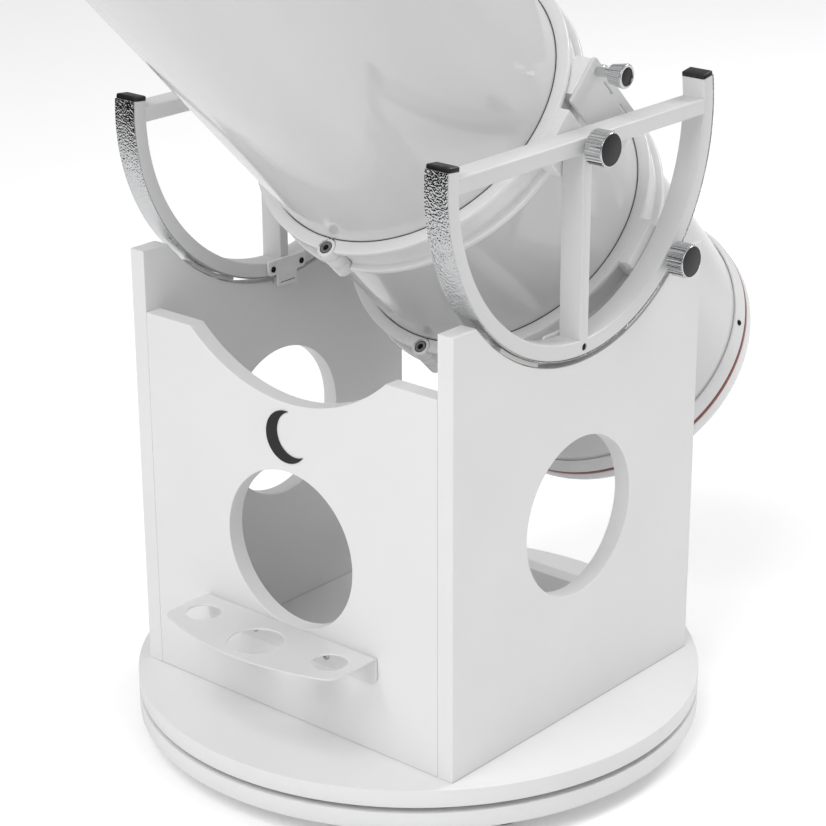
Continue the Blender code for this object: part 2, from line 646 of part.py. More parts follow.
def eyepiece(mat):
    profile = [
        (0, 0.2050), (0.0234, 0.2050), (0.0234, 0.2343), (0.0285, 0.2343), (0.0285, 0.2430),
        (0.0215, 0.2450), (0.0215, 0.2570), (0.0240, 0.2590), (0.0240, 0.2760), (0.0210, 0.2900),
        (0.0180, 0.2900), (0.0120, 0.2850), (0, 0.2850),
    ]
    finish(lathe(profile, 24), "eyepiece", mat, OTA @ radial_frame(FOCUS_ANGLE, FOCUS_S))


def finder(mat_shoe, mat_bracket, mat_tube):
    """Finder scope in a two-ring bracket whose foot slides in a shoe on the tube."""
    place = OTA @ radial_frame(FINDER_ANGLE, FINDER_S)
    shoe = box((-0.0190, 0.0190), (-0.0350, 0.0350), (0.1480, 0.1700))
    across = Matrix.Rotation(math.radians(90), 4, "X")
    shoe = cut(shoe, moved(rod(TUBE_R + 0.0004, -0.08, 0.08, TUBE_N), across))
    shoe = cut(shoe, box((-0.0108, 0.0108), (-0.05, 0.05), (0.1600, 0.20)))
    finish(shoe, "finder_shoe", mat_shoe, place)
    bracket = box((-0.0105, 0.0105), (-0.0380, 0.0380), (0.1603, 0.1730))
    bracket = join(bracket, box((-0.0070, 0.0070), (-0.0375, 0.0375), (0.1720, 0.1870)))
    along = Matrix.Rotation(math.radians(-90), 4, "X")
    axis = Matrix.Translation((0, 0, 0.2120)) @ along
    for low, high in ((-0.0370, -0.0240), (0.0240, 0.0370)):
        hoop = lathe([(0.0206, low), (0.0285, low), (0.0285, high), (0.0206, high)], 24)
        bracket = join(bracket, moved(hoop, axis))
    finish(bracket, "finder_bracket", mat_bracket, place)
    profile = [
        (0, -0.1050), (0.0130, -0.1050), (0.0165, -0.1020), (0.0165, -0.0700), (0.0140, -0.0680),
        (0.0140, -0.0520), (0.0200, -0.0480), (0.0200, 0.0420), (0.0280, 0.0640), (0.0280, 0.1250),
        (0.0255, 0.1250), (0.0255, 0.1100), (0, 0.1100),
    ]
    finish(lathe(profile, 24), "finder_tube", mat_tube, place @ axis)


# ---------------------------------------------------------------- assembly
def build():
    clear_scene()
    board = material("white_laminate", (0.86, 0.86, 0.86), 0, 0.35)
    enamel = material("white_enamel", (0.88, 0.88, 0.88), 0, 0.15)
    casting = material("white_casting", (0.88, 0.88, 0.88), 0, 0.2)
    chrome = material("chrome", (0.80, 0.80, 0.80), 1, 0.1)
    steel = material("zinc_steel", (0.55, 0.55, 0.56), 1, 0.35)
    black = material("black_plastic", (0.02, 0.02, 0.02), 0, 0.5)
    rubber = material("rubber", (0.03, 0.03, 0.03), 0, 0.9)
    nylon = material("white_nylon", (0.85, 0.85, 0.83), 0, 0.6)
    glass = material("mirror_glass", (0.9, 0.9, 0.9), 1, 0.02)
    alloy = material("anodised_alloy", (0.10, 0.10, 0.11), 1, 0.4)
    red = material("red_stripe", (0.55, 0.02, 0.03), 0, 0.4)

    ground_board(board)
    feet(rubber)
    azimuth_bearing(nylon)
    pivot(steel, black)
    turntable_board(board)
    side_board(1, "right_side_board", board)
    side_board(-1, "left_side_board", board)
    front_board(board)
    rear_stretcher(board)
    altitude_pads(nylon)
    eyepiece_tray(enamel)
    front_emblem(black)

    altitude_frame(1, "right_frame", enamel)
    altitude_frame(-1, "left_frame", enamel)
    bearing_band(1, "right_bearing_band", chrome)
    bearing_band(-1, "left_bearing_band", chrome)
    end_caps(black)
    guide_plate(1, "right_guide_plate", enamel)
    guide_plate(-1, "left_guide_plate", enamel)
    for s, word in zip(RING_S, ("upper", "lower")):
        tube_ring(1, s, s == 0, f"{word}_ring_right", casting)
        tube_ring(-1, s, False, f"{word}_ring_left", casting)
    side_rail(enamel)
    frame_knobs(chrome)
    clamp_knobs(chrome)
    rail_knob(chrome)

    tube(enamel)
    front_ring(casting)
    rear_cell(casting)
    pinstripe(red)
    primary_mirror(glass)
    mirror_cell(alloy)
    collimation_knobs(steel)
    secondary(black, glass)
    focuser_base(alloy)
    drawtube(chrome)
    focus_knobs(black)
    focus_lock(steel)
    eyepiece(black)
    finder(black, casting, casting)


build()
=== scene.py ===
"""Looks of a Newtonian reflector in a rocker box: fine meshes and finishes over the fixed CAD frame.

Every sub-assembly is a class with its sizes as fields. Lengths are in metres. Tube parts are built in tube
axes (Z up the optical axis, Y to the tube's upper side) and placed by one matrix at the end.
"""
import json
import logging
import math
from dataclasses import dataclass, field
from enum import Enum
from typing import Optional, Sequence

import bmesh
import bpy
from mathutils import Matrix, Vector
from mathutils.geometry import tessellate_polygon


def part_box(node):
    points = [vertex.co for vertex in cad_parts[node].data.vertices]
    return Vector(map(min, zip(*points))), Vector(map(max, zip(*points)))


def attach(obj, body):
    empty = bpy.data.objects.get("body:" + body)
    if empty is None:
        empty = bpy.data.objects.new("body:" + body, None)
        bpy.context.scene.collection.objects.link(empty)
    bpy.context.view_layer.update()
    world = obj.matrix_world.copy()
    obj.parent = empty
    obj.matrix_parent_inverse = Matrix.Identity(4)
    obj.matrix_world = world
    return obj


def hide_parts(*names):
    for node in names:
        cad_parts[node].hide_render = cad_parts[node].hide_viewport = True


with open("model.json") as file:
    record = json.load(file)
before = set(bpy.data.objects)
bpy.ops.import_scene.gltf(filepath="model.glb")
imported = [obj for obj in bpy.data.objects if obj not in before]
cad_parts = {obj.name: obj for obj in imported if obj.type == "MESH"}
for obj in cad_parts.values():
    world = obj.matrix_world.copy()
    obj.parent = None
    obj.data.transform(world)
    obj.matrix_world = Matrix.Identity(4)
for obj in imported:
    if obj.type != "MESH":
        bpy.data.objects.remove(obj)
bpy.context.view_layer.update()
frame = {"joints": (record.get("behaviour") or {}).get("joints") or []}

LOG = logging.getLogger("looks")
MM = 0.001
ON_AXIS = 1e-7  # a profile point nearer than this to Z is on it
SHARP = math.radians(32)  # edges that bend more than this stay sharp

Point = tuple[float, float]
JOINTS = {joint["name"]: joint for joint in frame["joints"]}
ALT_Z = JOINTS["altitude"]["pos_m"][2]
TUBE_AXIS = Vector(JOINTS["tube_roll"]["axis"]).normalized()


def tube_place() -> Matrix:
    """The matrix from tube axes to the world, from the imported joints."""
    side = Vector((1, 0, 0))
    upper = TUBE_AXIS.cross(side)
    turn = Matrix((side, upper, TUBE_AXIS)).transposed().to_4x4()
    return Matrix.Translation((0, 0, ALT_Z)) @ turn


OTA = tube_place()
AXLE = Matrix.Translation((0, 0, ALT_Z))
# Stands a plan drawn in (Y, Z) upright: local x, y and z become world Y, Z and X.
UPRIGHT = Matrix(((0, 0, 1, 0), (1, 0, 0, 0), (0, 1, 0, 0), (0, 0, 0, 1)))
# Stands a plan drawn in (X, Z) upright: local x, y and z become world X, Z and -Y.
FACING_FRONT = Matrix.Rotation(math.radians(90), 4, "X")


# ---------------------------------------------------------------- node trees and colours
def linear(hex_colour: str) -> tuple[float, float, float, float]:
    """Turns an sRGB hex colour into linear RGBA.

    Args:
        hex_colour: six hex digits.

    Returns:
        The linear colour with alpha 1.
    """
    channels = [int(hex_colour[i:i + 2], 16) / 255 for i in (0, 2, 4)]
    curve = [c / 12.92 if c <= 0.04045 else ((c + 0.055) / 1.055) ** 2.4 for c in channels]
    return (curve[0], curve[1], curve[2], 1.0)


def add_node(tree: bpy.types.NodeTree, kind: str, inputs: Optional[dict] = None,
             **settings) -> bpy.types.Node:
    """Adds a node, sets it up and links it.

    Args:
        tree: the tree that gets the node.
        kind: the node's type name.
        inputs: input name or number, to a value or to a (node, output) pair that feeds it.
        settings: properties of the node.

    Returns:
        The new node.
    """
    node = tree.nodes.new(kind)
    for name, value in settings.items():
        setattr(node, name, value)
    for key, value in (inputs or {}).items():
        if isinstance(value, tuple) and len(value) == 2 and isinstance(value[0], bpy.types.Node):
            tree.links.new(value[0].outputs[value[1]], node.inputs[key])
        else:
            node.inputs[key].default_value = value
    return node


# ---------------------------------------------------------------- finishes
class Grain(Enum):
    """How a surface's small relief is laid out."""

    NONE = "none"
    PEEL = "peel"
    PEBBLE = "pebble"
    HAMMERED = "hammered"
    TURNED = "turned"


@dataclass(frozen=True)
class Finish:
    """One finish: a Principled surface with relief and slight variation, sized in millimetres.

    Attributes:
        name: what the real material is.
        colour: sRGB hex.
        roughness: mean roughness.
        metallic: 1 for bare metal.
        grain: kind of relief.
        grain_mm: size of one grain.
        depth_mm: height of the relief.
        mottle: how far roughness drifts over the surface.
        shade: hex colour that the base colour drifts to, a little.
        coat: strength of a clear gloss coat.
    """

    name: str
    colour: str
    roughness: float
    metallic: float = 0.0
    grain: Grain = Grain.NONE
    grain_mm: float = 1.0
    depth_mm: float = 0.0
    mottle: float = 0.04
    shade: str = ""
    coat: float = 0.0

    def relief(self, tree: bpy.types.NodeTree, where: tuple) -> Optional[bpy.types.Node]:
        """Adds the relief's height nodes.

        Args:
            tree: the material's tree.
            where: (node, output) of the coordinates.

        Returns:
            The bump node, or None for a smooth finish.
        """
        if self.grain is Grain.NONE:
            return None
        scale = 1 / (self.grain_mm * MM)
        if self.grain is Grain.HAMMERED:
            warp = add_node(tree, "ShaderNodeTexNoise",
                            {"Vector": where, "Scale": scale * 0.8, "Detail": 2.0})
            cell = add_node(tree, "ShaderNodeTexVoronoi", {"Vector": where, "Scale": scale, "Smoothness": 0.6,
                                                           "Randomness": 1.0}, feature="SMOOTH_F1")
            height = add_node(tree, "ShaderNodeMath", {0: (cell, "Distance"), 1: (warp, "Fac")},
                              operation="ADD")
            source = (height, 0)
        elif self.grain is Grain.TURNED:
            stretch = add_node(tree, "ShaderNodeMapping", {"Vector": where, "Scale": (1.0, 1.0, 0.04)})
            lines = add_node(tree, "ShaderNodeTexNoise",
                             {"Vector": (stretch, 0), "Scale": scale, "Detail": 1.0})
            source = (lines, "Fac")
        elif self.grain is Grain.PEBBLE:
            fine = add_node(tree, "ShaderNodeTexVoronoi",
                            {"Vector": where, "Scale": scale, "Smoothness": 0.8},
                            feature="SMOOTH_F1")
            source = (fine, "Distance")
        else:
            peel = add_node(tree, "ShaderNodeTexNoise", {"Vector": where, "Scale": scale, "Detail": 1.5})
            source = (peel, "Fac")
        return add_node(tree, "ShaderNodeBump", {"Height": source, "Distance": self.depth_mm * MM,
                                                 "Strength": 1.0})

    def material(self) -> bpy.types.Material:
        """The material, made on first use."""
        found = bpy.data.materials.get(self.name)
        if found:
            return found
        made = bpy.data.materials.new(self.name)
        made.use_nodes = True
        tree = made.node_tree
        tree.nodes.clear()
        spot = add_node(tree, "ShaderNodeTexCoord")
        where = (spot, "Object")
        drift = add_node(tree, "ShaderNodeTexNoise", {"Vector": where, "Scale": 9.0, "Detail": 3.0})
        low, high = max(self.roughness - self.mottle, 0.01), min(self.roughness + self.mottle, 1.0)
        rough = add_node(tree, "ShaderNodeMapRange", {
            "Value": (drift, "Fac"), "From Min": 0.3, "From Max": 0.7, "To Min": low, "To Max": high})
        shader = add_node(tree, "ShaderNodeBsdfPrincipled", {
            "Roughness": (rough, 0), "Metallic": self.metallic, "Base Color": linear(self.colour),
            "Coat Weight": self.coat, "Coat Roughness": 0.04})
        if self.shade:
            tint = add_node(tree, "ShaderNodeMix", {"Factor": (drift, "Fac"), 6: linear(self.colour),
                                                    7: linear(self.shade)}, data_type="RGBA")
            tree.links.new(tint.outputs[2], shader.inputs["Base Color"])
        bump = self.relief(tree, where)
        if bump:
            tree.links.new(bump.outputs[0], shader.inputs["Normal"])
        add_node(tree, "ShaderNodeOutputMaterial", {"Surface": (shader, 0)})
        return made


# Stove enamel sprayed on the rolled steel tube: a wet gloss with faint orange peel that bends reflections.
TUBE_ENAMEL = Finish("gloss_stove_enamel", "E0E0E0", 0.12, grain=Grain.PEEL, grain_mm=9.0, depth_mm=0.010,
                     mottle=0.03, shade="DADADA", coat=0.5)
# Powder coat on welded steel section: satin, with a fine pebble that softens highlights.
POWDER_COAT = Finish("satin_powder_coat", "E4E4E4", 0.34, grain=Grain.PEEL, grain_mm=1.6, depth_mm=0.02,
                     mottle=0.05, shade="DDDDDD")
# Painted die casting: smoother than powder coat, with soft highlights on its edges.
CAST_PAINT = Finish("painted_die_casting", "F2F2F2", 0.24, grain=Grain.PEEL, grain_mm=2.2, depth_mm=0.015,
                    mottle=0.05, shade="EAEAEA", coat=0.2)
# Melamine paper pressed on chipboard: matt white with a fine leathery press-plate texture.
MELAMINE = Finish("pressed_white_melamine", "EFEFEF", 0.45, grain=Grain.PEBBLE, grain_mm=1.1, depth_mm=0.012,
                  mottle=0.06, shade="E9E9E9")
# Edge strip of white ABS, ironed on: a touch glossier and greyer than the face.
EDGE_STRIP = Finish("white_abs_edge_strip", "E2E2E2", 0.38, grain=Grain.PEEL, grain_mm=1.5, depth_mm=0.012)
# Joint between face and edge strip: a hairline of dark hot-melt glue, drawn coarser than real to show.
GLUE_LINE = Finish("grey_glue_line", "2F2E2C", 0.7)
BOARD = (MELAMINE, GLUE_LINE, EDGE_STRIP)
# Steel strip struck with a ball pattern and chromium plated: mirror-like dimples that scatter reflections.
HAMMERED_CHROME = Finish("hammered_chromium_plate", "CDCECF", 0.07, metallic=1.0, grain=Grain.HAMMERED,
                         grain_mm=1.9, depth_mm=0.62, mottle=0.03)
# Plain chromium plate on turned brass.
CHROME = Finish("turned_chromium_plate", "DADBDC", 0.12, metallic=1.0, grain=Grain.TURNED, grain_mm=0.5,
                depth_mm=0.006, mottle=0.04)
# Cut edge of the plated strip: dark raw steel.
RAW_EDGE = Finish("dark_cut_steel", "2A2A2B", 0.45, metallic=0.8)
# Black-oxide steel screws: dull black with a slight shine on edges.
BLACK_OXIDE = Finish("black_oxide_steel", "1C1C1D", 0.38, metallic=0.7)
# Zinc-plated steel.
ZINC = Finish("zinc_plated_steel", "A9ABAE", 0.30, metallic=1.0, grain=Grain.TURNED, grain_mm=0.6,
              depth_mm=0.01)
# Moulded polyethylene and ABS in black, with a spark-eroded texture.
BLACK_ABS = Finish("black_moulded_abs", "141415", 0.42, grain=Grain.PEBBLE, grain_mm=0.8, depth_mm=0.03,
                   shade="1B1B1C")
# Hard rubber for feet and grips.
RUBBER = Finish("black_moulded_rubber", "171717", 0.82, grain=Grain.PEEL, grain_mm=1.2, depth_mm=0.04)
# Natural nylon: milky and waxy.
NYLON = Finish("natural_nylon", "CFCFCC", 0.40, grain=Grain.TURNED, grain_mm=1.5, depth_mm=0.02)
# Flat black paint inside the tube, against stray light.
FLAT_BLACK = Finish("flat_black_paint", "121212", 0.9, grain=Grain.PEEL, grain_mm=1.5, depth_mm=0.03)
# Evaporated aluminium on polished glass.
MIRROR = Finish("aluminised_glass", "F2F3F4", 0.015, metallic=1.0, mottle=0.005)
# Ground edge and back of the mirror blank.
GROUND_GLASS = Finish("ground_blank_edge", "B9C6C2", 0.55, grain=Grain.PEEL, grain_mm=0.8, depth_mm=0.02)
# Black anodised aluminium: fine satin with a metal sheen.
ANODISED = Finish("black_anodised_aluminium", "202123", 0.33, metallic=0.9, grain=Grain.TURNED, grain_mm=0.4,
                  depth_mm=0.008)
# Multicoated lens glass, seen as a deep green-violet gloss.
LENS = Finish("multicoated_lens_glass", "16232A", 0.03, mottle=0.01, coat=1.0)
# Enamel line round the rear casting.
RED_LINE = Finish("red_enamel_line", "7A1E14", 0.30, grain=Grain.PEEL, grain_mm=2.0, depth_mm=0.01, coat=0.3)
# Pressed wool felt that lines the tube rings; its dark hairline against the tube is painted shade for the gap
# where ring meets tube.
FELT_AND_GAP_SHADE = Finish("grey_wool_lining_and_painted_gap_shade", "4A4A4C", 0.95)
# Screen-printed ink on the front board.
PRINT_INK = Finish("screen_print_ink", "151515", 0.5)


# ---------------------------------------------------------------- outlines
def rounded(corners: Sequence[Point], radius: float | Sequence[float], steps: int = 4,
            closed: bool = True) -> list[Point]:
    """Rounds the corners of an outline.

    Args:
        corners: the outline's corner points.
        radius: one radius for all corners, or one for each.
        steps: arc steps at each corner.
        closed: False keeps the first and last points as they are.

    Returns:
        The outline's points in the same order.
    """
    count = len(corners)
    radii = list(radius) if isinstance(radius, (list, tuple)) else [radius] * count
    points: list[Point] = []
    for i, (corner, r) in enumerate(zip(corners, radii)):
        here = Vector(corner)
        back = Vector(corners[i - 1]) - here
        ahead = Vector(corners[(i + 1) % count]) - here
        if r <= 0 or (not closed and i in (0, count - 1)) or back.angle(ahead) > math.pi - 0.01:
            points.append((corner[0], corner[1]))
            continue
        angle = back.angle(ahead)
        reach = min(r / math.tan(angle / 2), 0.49 * back.length, 0.49 * ahead.length)
        r = reach * math.tan(angle / 2)
        centre = here + (back.normalized() + ahead.normalized()).normalized() * (r / math.sin(angle / 2))
        start = here + back.normalized() * reach - centre
        end = here + ahead.normalized() * reach - centre
        first = math.atan2(start.y, start.x)
        sweep = (math.atan2(end.y, end.x) - first + math.pi) % (2 * math.pi) - math.pi
        for k in range(steps + 1):
            turn = first + sweep * k / steps
            points.append((centre.x + r * math.cos(turn), centre.y + r * math.sin(turn)))
    return points


def rectangle(x: Point, y: Point, radius: float = 0.0, steps: int = 4) -> list[Point]:
    """A rectangle's outline, anticlockwise.

    Args:
        x: lowest and highest x.
        y: lowest and highest y.
        radius: corner radius.
        steps: arc steps at each corner.

    Returns:
        The outline.
    """
    corners = [(x[0], y[0]), (x[1], y[0]), (x[1], y[1]), (x[0], y[1])]
    return rounded(corners, radius, steps) if radius else corners


def circle(centre: Point, radius: float, count: int) -> list[Point]:
    """A circle's outline, anticlockwise.

    Args:
        centre: its centre.
        radius: its radius.
        count: number of points.

    Returns:
        The outline.
    """
    turns = [2 * math.pi * i / count for i in range(count)]
    return [(centre[0] + radius * math.cos(t), centre[1] + radius * math.sin(t)) for t in turns]


def arc(centre: Point, radius: float, start: float, end: float, count: int) -> list[Point]:
    """Points along an arc, both ends included.

    Args:
        centre: its centre.
        radius: its radius.
        start: first angle in degrees.
        end: last angle in degrees.
        count: number of steps.

    Returns:
        The points.
    """
    turns = [math.radians(start + (end - start) * i / count) for i in range(count + 1)]
    return [(centre[0] + radius * math.cos(t), centre[1] + radius * math.sin(t)) for t in turns]


def inset(loop: Sequence[Point], distance: float) -> list[Point]:
    """Moves a loop to its left by a distance, with mitred corners.

    Args:
        loop: closed loop of points.
        distance: how far.

    Returns:
        The moved loop, point for point.
    """
    moved_loop = []
    for i, point in enumerate(loop):
        here, before, after = Vector(point), Vector(loop[i - 1]), Vector(loop[(i + 1) % len(loop)])
        a, b = (here - before).normalized(), (after - here).normalized()
        left_a, left_b = Vector((-a.y, a.x)), Vector((-b.y, b.x))
        mitre = (left_a + left_b) / max(1 + left_a.dot(left_b), 0.2)
        moved_loop.append((here.x + mitre.x * distance, here.y + mitre.y * distance))
    return moved_loop


# ---------------------------------------------------------------- mesh makers
def linked(name: str, data: bpy.types.ID) -> bpy.types.Object:
    """Makes an object of a mesh, lamp or camera and puts it in the scene."""
    obj = bpy.data.objects.new(name, data)
    bpy.context.scene.collection.objects.link(obj)
    return obj


def mesh_object(name: str, bm: bmesh.types.BMesh) -> bpy.types.Object:
    """Makes an object from a bmesh, with outward faces and smooth shading.

    Args:
        name: the object's name.
        bm: the bmesh, which is freed.

    Returns:
        The object.
    """
    bmesh.ops.recalc_face_normals(bm, faces=bm.faces)
    mesh = bpy.data.meshes.new(name)
    bm.to_mesh(mesh)
    bm.free()
    mesh.shade_smooth()
    mesh.set_sharp_from_angle(angle=SHARP)
    return linked(name, mesh)


def panel(name: str, outline: Sequence[Point], thickness: Point, holes: Sequence[Sequence[Point]] = (),
          edge: float = 0.0005, line: float = 0.0) -> bpy.types.Object:
    """A flat board or plate with broken edges. Material 0 is the face, 1 the line round it, 2 the edge.

    Args:
        name: the object's name.
        outline: its outline, anticlockwise.
        thickness: lowest and highest z.
        holes: outlines of its holes, anticlockwise.
        edge: width of the broken edge.
        line: width of the line between face and edge.

    Returns:
        The object, in the XY plane.
    """
    bm = bmesh.new()
    loops = [list(outline)] + [list(reversed(hole)) for hole in holes]
    layers = [(edge, thickness[0]), (0.0, thickness[0] + edge), (0.0, thickness[1] - edge),
              (edge, thickness[1])]
    if line:
        layers = [(edge + line, thickness[0])] + layers + [(edge + line, thickness[1])]
    tops: list[list] = []
    bottoms: list[list] = []
    for loop in loops:
        rings = [[bm.verts.new((x, y, z)) for x, y in inset(loop, shift)] for shift, z in layers]
        for k, (a, b) in enumerate(zip(rings, rings[1:])):
            for i in range(len(loop)):
                j = (i + 1) % len(loop)
                face = bm.faces.new((a[i], a[j], b[j], b[i]))
                face.material_index = 1 if line and k in (0, len(rings) - 2) else 2
        bottoms.append(rings[0])
        tops.append(rings[-1])
    for side in (bottoms, tops):
        flat = [vert for ring in side for vert in ring]
        for triangle in tessellate_polygon([[vert.co.copy() for vert in ring] for ring in side]):
            face = bm.faces.new([flat[i] for i in triangle])
            face.material_index = 0
    return mesh_object(name, bm)


def lathe(name: str, profile: Sequence[Point], count: int = 64, looks: Sequence[int] = (),
          flutes: Optional[tuple[int, float, Point]] = None) -> bpy.types.Object:
    """Turns (radius, z) points round Z. Ends on the axis close it; otherwise the profile is a loop.

    Args:
        name: the object's name.
        profile: its half section.
        count: number of steps round.
        looks: material number of each stretch of the profile.
        flutes: (number, depth, (lowest z, highest z)) of flutes cut into the outside.

    Returns:
        The object.
    """
    bm = bmesh.new()
    widest = max(r for r, _ in profile)
    rings = []
    for r, z in profile:
        if r < ON_AXIS:
            rings.append([bm.verts.new((0, 0, z))])
            continue
        ring = []
        for i in range(count):
            turn = 2 * math.pi * i / count
            radius = r
            if flutes and flutes[2][0] <= z <= flutes[2][1] and r > 0.6 * widest:
                radius -= flutes[1] * (0.5 - 0.5 * math.cos(flutes[0] * turn)) ** 2
            ring.append(bm.verts.new((radius * math.cos(turn), radius * math.sin(turn), z)))
        rings.append(ring)
    pairs = list(zip(rings, rings[1:]))
    if len(rings[0]) > 1 and len(rings[-1]) > 1:
        pairs.append((rings[-1], rings[0]))
    for k, (a, b) in enumerate(pairs):
        for i in range(count):
            j = (i + 1) % count
            corners = [a[i % len(a)], a[j % len(a)], b[j % len(b)], b[i % len(b)]]
            face = bm.faces.new(list(dict.fromkeys(corners)))
            face.material_index = looks[k] if k < len(looks) else 0
    return mesh_object(name, bm)


def turned(name: str, profile: Sequence[Point], radius: float, count: int = 64,
           **options) -> bpy.types.Object:
    """A lathe piece whose profile has its corners rounded first.

    Args:
        name: the object's name.
        profile: (radius, z) corner points.
        radius: corner radius.
        count: number of steps round.
        options: passed to lathe.

    Returns:
        The object.
    """
    closed = profile[0][0] > ON_AXIS and profile[-1][0] > ON_AXIS
    return lathe(name, rounded(profile, radius, 3, closed), count, **options)


def sweep(name: str, section: Sequence[Point], start: float, end: float, count: int,
          looks: Sequence[int] = ()) -> bpy.types.Object:
    """Sweeps a (radius, z) section round Z with flat ends.

    Args:
        name: the object's name.
        section: closed outline.
        start: first angle in degrees.
        end: last angle in degrees.
        count: number of steps.
        looks: material number of each side of the section.

    Returns:
        The object.
    """
    bm = bmesh.new()
    rings = []
    for i in range(count + 1):
        turn = math.radians(start + (end - start) * i / count)
        rings.append([bm.verts.new((r * math.cos(turn), r * math.sin(turn), z)) for r, z in section])
    size = len(section)
    for a, b in zip(rings, rings[1:]):
        for k in range(size):
            face = bm.faces.new((a[k], a[(k + 1) % size], b[(k + 1) % size], b[k]))
            face.material_index = looks[k] if k < len(looks) else 0
    bm.faces.new(rings[0])
    bm.faces.new(rings[-1])
    return mesh_object(name, bm)


def stack(name: str, outline: Sequence[Point], layers: Sequence[Point]) -> bpy.types.Object:
    """Stacks an outline at several heights, each drawn in by its own amount, and closes both ends.

    Args:
        name: the object's name.
        outline: closed outline, anticlockwise.
        layers: (how far it is drawn in, z) of each level.

    Returns:
        The object.
    """
    bm = bmesh.new()
    rings = [[bm.verts.new((x, y, z)) for x, y in inset(outline, shift)] for shift, z in layers]
    size = len(outline)
    for a, b in zip(rings, rings[1:]):
        for k in range(size):
            bm.faces.new((a[k], a[(k + 1) % size], b[(k + 1) % size], b[k]))
    bm.faces.new(rings[0])
    bm.faces.new(rings[-1])
    return mesh_object(name, bm)


def block(name: str, x: Point, y: Point, z: Point, radius: float = 0.0006,
          steps: int = 2) -> bpy.types.Object:
    """A box with rounded edges.

    Args:
        name: the object's name.
        x: lowest and highest x.
        y: lowest and highest y.
        z: lowest and highest z.
        radius: edge radius.
        steps: segments of each rounded edge.

    Returns:
        The object.
    """
    bm = bmesh.new()
    bmesh.ops.create_cube(bm, size=1.0)
    size = Vector((x[1] - x[0], y[1] - y[0], z[1] - z[0]))
    middle = Vector((x[1] + x[0], y[1] + y[0], z[1] + z[0])) / 2
    bm.transform(Matrix.Translation(middle) @ Matrix.Diagonal((*size, 1.0)))
    if radius:
        bmesh.ops.bevel(bm, geom=list(bm.edges), offset=radius, segments=steps, profile=0.5, affect="EDGES")
    return mesh_object(name, bm)


def joined(name: str, *pieces: bpy.types.Object) -> bpy.types.Object:
    """Puts several closed shells into one object, keeping their materials.

    Args:
        name: the result's name.
        pieces: the objects, which are removed.

    Returns:
        The object.
    """
    slots: list[bpy.types.Material] = []
    bm = bmesh.new()
    for piece in pieces:
        own = list(piece.data.materials)
        mesh = piece.data
        mesh.transform(piece.matrix_world)
        known = len(bm.faces)
        bm.from_mesh(mesh)
        bm.faces.ensure_lookup_table()
        for face in bm.faces[known:]:
            finish = own[min(face.material_index, len(own) - 1)] if own else None
            if finish not in slots:
                slots.append(finish)
            face.material_index = slots.index(finish)
        bpy.data.objects.remove(piece, do_unlink=True)
    mesh = bpy.data.meshes.new(name)
    bm.to_mesh(mesh)
    bm.free()
    for finish in slots:
        mesh.materials.append(finish)
    return linked(name, mesh)


def cut(target: bpy.types.Object, *tools: bpy.types.Object) -> bpy.types.Object:
    """Cuts tools out of a closed shell and removes them.

    Args:
        target: the shell.
        tools: the cutters.

    Returns:
        The target.
    """
    for tool in tools:
        step = target.modifiers.new("cut", "BOOLEAN")
        step.operation, step.solver, step.object = "DIFFERENCE", "EXACT", tool
        graph = bpy.context.evaluated_depsgraph_get()
        graph.update()
        mesh = bpy.data.meshes.new_from_object(target.evaluated_get(graph))
        target.modifiers.clear()
        target.data = mesh
        bpy.data.objects.remove(tool, do_unlink=True)
    target.data.shade_smooth()
    target.data.set_sharp_from_angle(angle=SHARP)
    return target


def placed(obj: bpy.types.Object, matrix: Matrix) -> bpy.types.Object:
    """Moves an object's mesh, leaving the object at the origin."""
    obj.data.transform(matrix)
    return obj


def dressed(obj: bpy.types.Object, *finishes: Finish) -> bpy.types.Object:
    """Gives an object its finishes, in slot order."""
    obj.data.materials.clear()
    for finish in finishes:
        obj.data.materials.append(finish.material())
    return obj


def fitted(obj: bpy.types.Object, body: str, slot: str, *nodes: str) -> bpy.types.Object:
    """Hands a finished piece to the frame.

    Args:
        obj: the piece.
        body: the CAD body it rides on.
        slot: the record's material slot it stands for; not used.
        nodes: CAD nodes that it replaces.

    Returns:
        The piece.
    """
    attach(obj, body)
    if nodes:
        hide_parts(*nodes)
    LOG.info("%s rides on %s, %d faces", obj.name, body, len(obj.data.polygons))
    return obj


def outward(angle: float) -> Vector:
    """The unit vector at an angle in degrees round Z from local X."""
    return Vector((math.cos(math.radians(angle)), math.sin(math.radians(angle)), 0))


def side_matrix(side: int) -> Matrix:
    """Turns local Z to world X on the right (side 1) or world -X on the left (side -1)."""
    return Matrix.Rotation(math.radians(90 * side), 4, "Y")


def span(side: int, low: float, high: float) -> Point:
    """An X range on the right (side 1) or left (side -1)."""
    return (low, high) if side > 0 else (-high, -low)


def word_of(side: int) -> str:
    """The side's name in node names."""
    return "right" if side > 0 else "left"


# ---------------------------------------------------------------- geometry node trees for what repeats
def group_input(tree: bpy.types.NodeTree, name: str, kind: str, default: object = None) -> str:
    """Adds a named input to a geometry tree.

    Args:
        tree: the tree.
        name: the input's name.
        kind: its socket type.
        default: its default value.

    Returns:
        The socket's identifier.
    """
    socket = tree.interface.new_socket(name=name, in_out="INPUT", socket_type=kind)
    if default is not None:
        socket.default_value = default
    return socket.identifier


